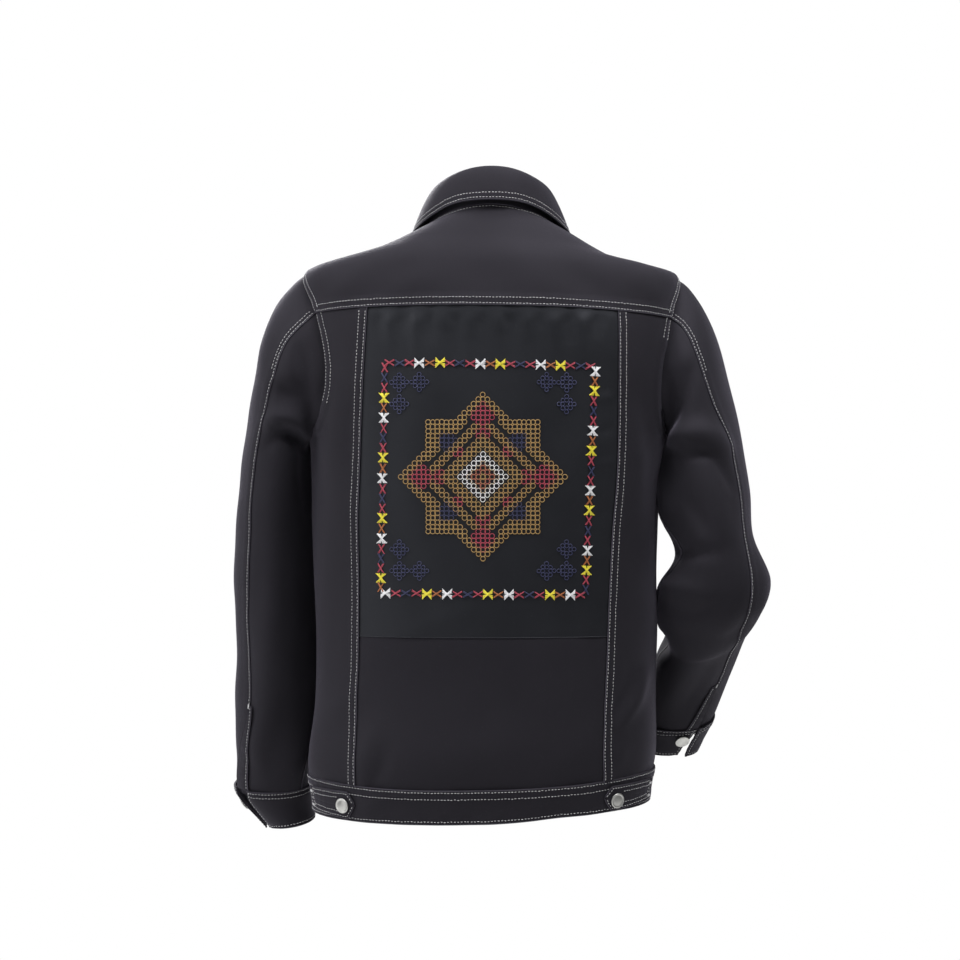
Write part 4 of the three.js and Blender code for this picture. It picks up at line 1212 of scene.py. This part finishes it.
# Shank buttons: a rolled rim, a dished ring with a fine cord edge, and a low domed centre. The
# profile is a radius and a height, from the middle of the face round to the foot.
buttonLook = {
    "sides": 56, "beads": 28, "beadRise": 0.08, "beadFrom": 7.2, "beadTo": 8.1,
    "profile": (
        (0.0, 3.5), (1.4, 3.48), (2.8, 3.4), (4.0, 3.28), (5.0, 3.14), (5.9, 3.0), (6.3, 2.96), (6.6, 3.1),
        (7.0, 3.34), (7.5, 3.44), (8.0, 3.34), (8.35, 3.05), (8.5, 2.6), (8.42, 2.1), (8.1, 1.7), (7.2, 1.4),
        (5.0, 1.2), (3.6, 0.95), (3.5, 0.0), (0.0, 0.0),
    ),
}


def buttonShape():
    radius, height = np.array(buttonLook["profile"])[:, :, None].transpose(1, 0, 2)
    angle = 2 * np.pi * np.arange(buttonLook["sides"]) / buttonLook["sides"]
    beaded = (radius > buttonLook["beadFrom"]) & (radius < buttonLook["beadTo"]) & (height > 3)
    bead = np.where(beaded, buttonLook["beadRise"] * np.cos(angle * buttonLook["beads"]), 0)
    points = np.stack([radius * np.cos(angle), radius * np.sin(angle), height + bead], axis=-1)
    faces = tubeFaces(len(radius), buttonLook["sides"])[:, [0, 3, 2, 1]]
    return points.reshape(-1, 3), faces.tolist()


def makeButtons():
    points, faces = buttonShape()
    names = sorted(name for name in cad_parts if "button" in name)
    for name in names:
        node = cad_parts[name]
        corners = np.array([tuple(node.matrix_world @ v.co) for v in node.data.vertices]) * 1000
        middle = corners.mean(axis=0)
        out = np.linalg.svd(corners - middle, full_matrices=False)[2][2]
        look = leftSleeve if middle[0] > 0 else rightSleeve
        hollow = sleeveAxis(look, cuffAt + 0.5, 0) if "cuff" in name else bodyHollow(middle)
        if out @ (middle - hollow) < 0:
            out = -out
        foot = middle + out * ((corners - middle) @ out).min()
        turned = np.array(Vector((0, 0, 1)).rotation_difference(Vector(out)).to_matrix())
        piece = meshPiece(name + "_shank", foot + points @ turned.T, faces, nickel)
        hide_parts(name)
    print("buttons", len(names))


# Hand embroidery on the back insert. The border is a row of crossed stitches in turning colours.
# The middle is an eight-pointed star of looped gold thread, with small navy diamonds round it.
embroidery = {
    "corners": ((118, -158), (-114, -162), (-103, -415), (123, -413)),
    "crossTurns": ("crimson", "navy", "crimson", "white", "copper", "yellow"),
    "crossPitch": 11.1, "crossHeight": 3.1, "crossReach": 0.47, "wobble": 0.16, "bow": 0.7,
    "lift": (-0.25, 0.3, 0.45, 0.3, -0.25), "topLift": 0.55, "threads": 2, "threadPitch": 0.86,
    "boldColours": ("white", "yellow"), "boldThreads": 6, "boldHeight": 1.12,
    "starMiddle": (10, -284), "starPitch": 5.0, "square": 12, "point": 18, "loop": 2.75, "loopPoints": 11,
    "loopLift": 0.32, "loopWave": 0.3, "thread": 0.44, "threadSides": 5,
    "diamondPitch": 4.2, "diamondLoop": 0.52, "diamonds": ((92, 104), (92, 80), (70, 104)),
}
threadColours = {
    "gold": ((0.52, 0.33, 0.1), (0.27, 0.15, 0.04)), "crimson": ((0.54, 0.05, 0.095), (0.26, 0.018, 0.04)),
    "navy": ((0.02, 0.026, 0.115), (0.01, 0.012, 0.05)), "white": ((0.95, 0.95, 0.96), (0.72, 0.72, 0.76)),
    "copper": ((0.52, 0.16, 0.035), (0.26, 0.07, 0.016)), "yellow": ((0.95, 0.87, 0.05), (0.72, 0.56, 0.02)),
}
threadLines = {name: [] for name in threadColours}


# The place on the insert's finished face at this x and z, with its outward direction.
def onInsert(panel, x, z):
    grid, out = panel["outer"], panel["out"]
    rows, columns = grid.shape[:2]
    spread = (grid[-1, 0, 0] - grid[0, 0, 0]) / (rows - 1)
    climb = (grid[0, -1, 2] - grid[0, 0, 2]) / (columns - 1)
    i = (x - grid[0, 0, 0]) / spread
    j = (z - grid[0, 0, 2]) / climb
    for _ in range(7):
        a, b = np.clip(i, 0, rows - 1.001), np.clip(j, 0, columns - 1.001)
        p, q = a.astype(int), b.astype(int)
        f, g = (a - p)[..., None], (b - q)[..., None]
        spot, normal = (
            mixOf(mixOf(one[p, q], one[p + 1, q], f), mixOf(one[p, q + 1], one[p + 1, q + 1], f), g)
            for one in (grid, out))
        i = i + (x - spot[..., 0]) / spread
        j = j + (z - spot[..., 2]) / climb
    return spot, unit(normal)


# Two crossed bundles of threads, the second over the first.
def crossStitch(colour, middle, along, draw):
    look = embroidery
    bold = colour in look["boldColours"]
    count = look["boldThreads"] if bold else look["threads"]
    across = np.array([-along[1], along[0]])
    half = look["crossPitch"] * look["crossReach"]
    height = look["crossHeight"] * (look["boldHeight"] if bold else 1.0)
    steps = np.linspace(0, 1, len(look["lift"]))[:, None]
    for (order, slope), k in product(enumerate((1, -1)), range(count)):
        shift = (k - (count - 1) / 2) * look["threadPitch"]
        wobble = draw.normal(size=4) * look["wobble"]
        a = middle - along * (half + wobble[0]) - across * slope * (height + wobble[1]) + across * shift
        b = middle + along * (half + wobble[2]) + across * slope * (height + wobble[3]) + across * shift
        bow = across * shift * look["bow"] * np.sin(np.pi * steps) if bold else 0
        lift = np.array(look["lift"]) + look["topLift"] * order
        threadLines[colour].append((a + (b - a) * steps - bow, lift))


def sewBorder(draw):
    corners = [np.array(corner, float) for corner in embroidery["corners"]]
    turns = embroidery["crossTurns"]
    number = 0
    for start, end in zip(corners, corners[1:] + corners[:1]):
        length = np.linalg.norm(end - start)
        along = (end - start) / length
        count = round(length / embroidery["crossPitch"])
        for k in range(count):
            middle = start + along * length * (k + 0.5) / count + draw.normal(size=2) * 0.22
            crossStitch(turns[number % len(turns)], middle, along, draw)
            number += 1


def sewLoop(colour, middle, radius, odd, draw):
    angle = np.linspace(0, 2 * np.pi, embroidery["loopPoints"]) + draw.uniform(0, 0.4)
    size = radius * draw.uniform(0.94, 1.06)
    flat = middle + draw.normal(size=2) * 0.12 + size * np.stack([np.cos(angle), np.sin(angle)], axis=1)
    lift = embroidery["loopLift"] + embroidery["loopWave"] * np.sin(2 * angle + np.pi * odd)
    threadLines[colour].append((flat, lift))


# The star is a square and a diamond laid over each other, in rings of colour.
def starColour(a, b):
    far, wide = abs(a) + abs(b), max(abs(a), abs(b))
    narrow, slant = min(abs(a), abs(b)), abs(abs(a) - abs(b))
    square, point = embroidery["square"], embroidery["point"]
    inside = max(point - far, square - wide)
    if inside < 0:
        return None
    if inside <= 1:
        return "gold"
    if far > 13 and wide <= square:
        return "navy" if inside > 2 and slant <= 2 else ("gold" if inside == 2 else None)
    if wide > square - 1:
        return "crimson" if narrow <= 2 else None
    if far in (10, 11):
        return "crimson" if min(narrow, slant) <= 1 else None
    if far in (5, 6):
        return "white" if (a + b) % 2 else None
    return {2: "crimson", 4: "white"}.get(far, "gold")


def sewStar(draw):
    middle = np.array(embroidery["starMiddle"], float)
    pitch, small = embroidery["starPitch"], embroidery["diamondPitch"]
    reach = embroidery["point"]
    for a, b in product(range(-reach, reach + 1), repeat=2):
        colour = starColour(a, b)
        if colour:
            sewLoop(colour, middle + np.array((a, b)) * pitch, embroidery["loop"], (a + b) % 2, draw)
    for (x, z), right, up in product(embroidery["diamonds"], (1, -1), (1, -1)):
        spot = middle + (x * right, z * up)
        for a, b in product(range(-2, 3), repeat=2):
            if abs(a) + abs(b) in (1, 2):
                radius = small * embroidery["diamondLoop"]
                sewLoop("navy", spot + np.array((a, b)) * small, radius, (a + b) % 2, draw)


# Round threads along lines, as one mesh for each colour. Lines with equally many points go together.
def makeThreads(panel):
    sides, thick = embroidery["threadSides"], embroidery["thread"]
    angle = 2 * np.pi * np.arange(sides)[:, None] / sides
    for colour, lines in threadLines.items():
        material = threadMaterial(colour + "Thread", *threadColours[colour], 0.5, 700.0)
        points, faces, marks = [], [], []
        first = 0
        for count in sorted({len(flat) for flat, _ in lines}):
            flat, lift = (np.stack(same) for same in zip(*(line for line in lines if len(line[0]) == count)))
            spots, out = onInsert(panel, flat[..., 0], flat[..., 1])
            spots = spots + out * (lift + thick * 0.6)[..., None]
            run = unit(np.gradient(spots, axis=1))
            side = unit(np.cross(run, out))
            ring = side[:, :, None] * np.cos(angle) + np.cross(side, run)[:, :, None] * np.sin(angle)
            points.append((spots[:, :, None] + ring * thick).reshape(-1, 3))
            mark = np.zeros(ring.shape)
            started = np.arange(len(flat))[:, None, None] * 3.7
            mark[..., 0] = (runAlong(spots, 1)[:, :, None] + started) / 1000
            mark[..., 1] = np.arange(sides) / sides
            marks.append(mark.reshape(-1, 3))
            faces += repeated(tubeFaces(count, sides), len(flat), count * sides, first)
            first += len(flat) * count * sides
        piece = meshPiece(f"embroidery_{colour}", np.concatenate(points), faces, material)
        pointValues(piece, "thread", np.concatenate(marks), "FLOAT_VECTOR")
        print(piece.name, len(lines), "threads")


insert = makeBack()
makeYoke()
print("back sewn")
embroideryDraw = np.random.default_rng(90)
sewBorder(embroideryDraw)
sewStar(embroideryDraw)
makeThreads(insert)
makeFronts()
makeWaistband()
makeTabs()
makeCollar()
print("front, waistband and collar sewn")
makeSleeves()
print("sleeves set in")
makeButtons()
for group in stitches:
    makeStitches(group, f"topstitching_{group}")

# A pale floor far below, a pale surround and soft lamps, the strongest from in front.
studio = {
    "floor": (0.82, 0.82, 0.81), "floorWorn": (0.86, 0.86, 0.85), "floorLevel": -1.45, "floorRadius": 2.5,
    "floorSides": 96, "surround": 0.18,
}
# place, aim, power, size
lamps = {
    "overhead": ((0.1, 0.15, 2.2), (0, 0, -0.1), 21, 0.8),
    "rightShoulder": ((-0.6, 0.55, 1.1), (-0.15, 0, -0.1), 19, 0.4),
    "rightSide": ((-0.85, 0.5, 0.8), (-0.15, 0, -0.1), 3, 0.4),
    "leftShoulder": ((1.5, 0.8, 1.6), (0.2, 0, -0.1), 30, 0.8),
    "fromLeft": ((2.6, 0.1, 0.4), (0.1, 0, -0.3), 20, 1.0),
    "lowLeft": ((1.5, 1.4, -0.7), (0.25, 0, -0.4), 6, 0.8),
    "fromBehind": ((0.9, 2.9, 0.3), (0, 0, -0.3), 6.5, 1.8),
    "fromFront": ((0.8, -2.3, 1.0), (0, 0, -0.3), 65, 1.1),
}


def makeFloor():
    mesh = bpy.data.meshes.new("floor")
    radius, sides = studio["floorRadius"], studio["floorSides"]
    angles = np.linspace(0, 2 * math.pi, sides + 1)[:-1]
    rim = [(radius * math.cos(a), radius * math.sin(a), studio["floorLevel"]) for a in angles]
    mesh.from_pydata(rim, [], [list(range(sides))])
    material, tree, shader = startMaterial("paleFloor")
    grain = addNode(tree, "TexNoise", {"Scale": 3.0, "Detail": 4.0}).outputs["Fac"]
    tone = mixColours(grain, studio["floor"], studio["floorWorn"])
    feed(shader, {"Base Color": tone, "Roughness": 0.8})
    mesh.materials.append(material)
    addObject("floor", mesh)


# The surround is white where the camera sees it, and dim as a light.
def makeSurround():
    scene.world = bpy.data.worlds.new("surround")
    scene.world.use_nodes = True
    tree = scene.world.node_tree
    seen = addNode(tree, "LightPath").outputs["Is Camera Ray"]
    strength = ranged(seen, target=(studio["surround"], 1.0))
    feed(tree.nodes["Background"], {"Color": (1, 1, 1, 1), "Strength": strength})
    scene.view_settings.view_transform = "Standard"


def makeLamps():
    for name, (place, aim, power, size) in lamps.items():
        lamp = addObject(name, bpy.data.lights.new(name, "AREA"))
        lamp.data.energy = power
        lamp.data.size = size
        lamp.location = place
        lamp.rotation_euler = (Vector(place) - Vector(aim)).to_track_quat("Z", "Y").to_euler()


makeFloor()
makeSurround()
makeLamps()
print("studio lit")
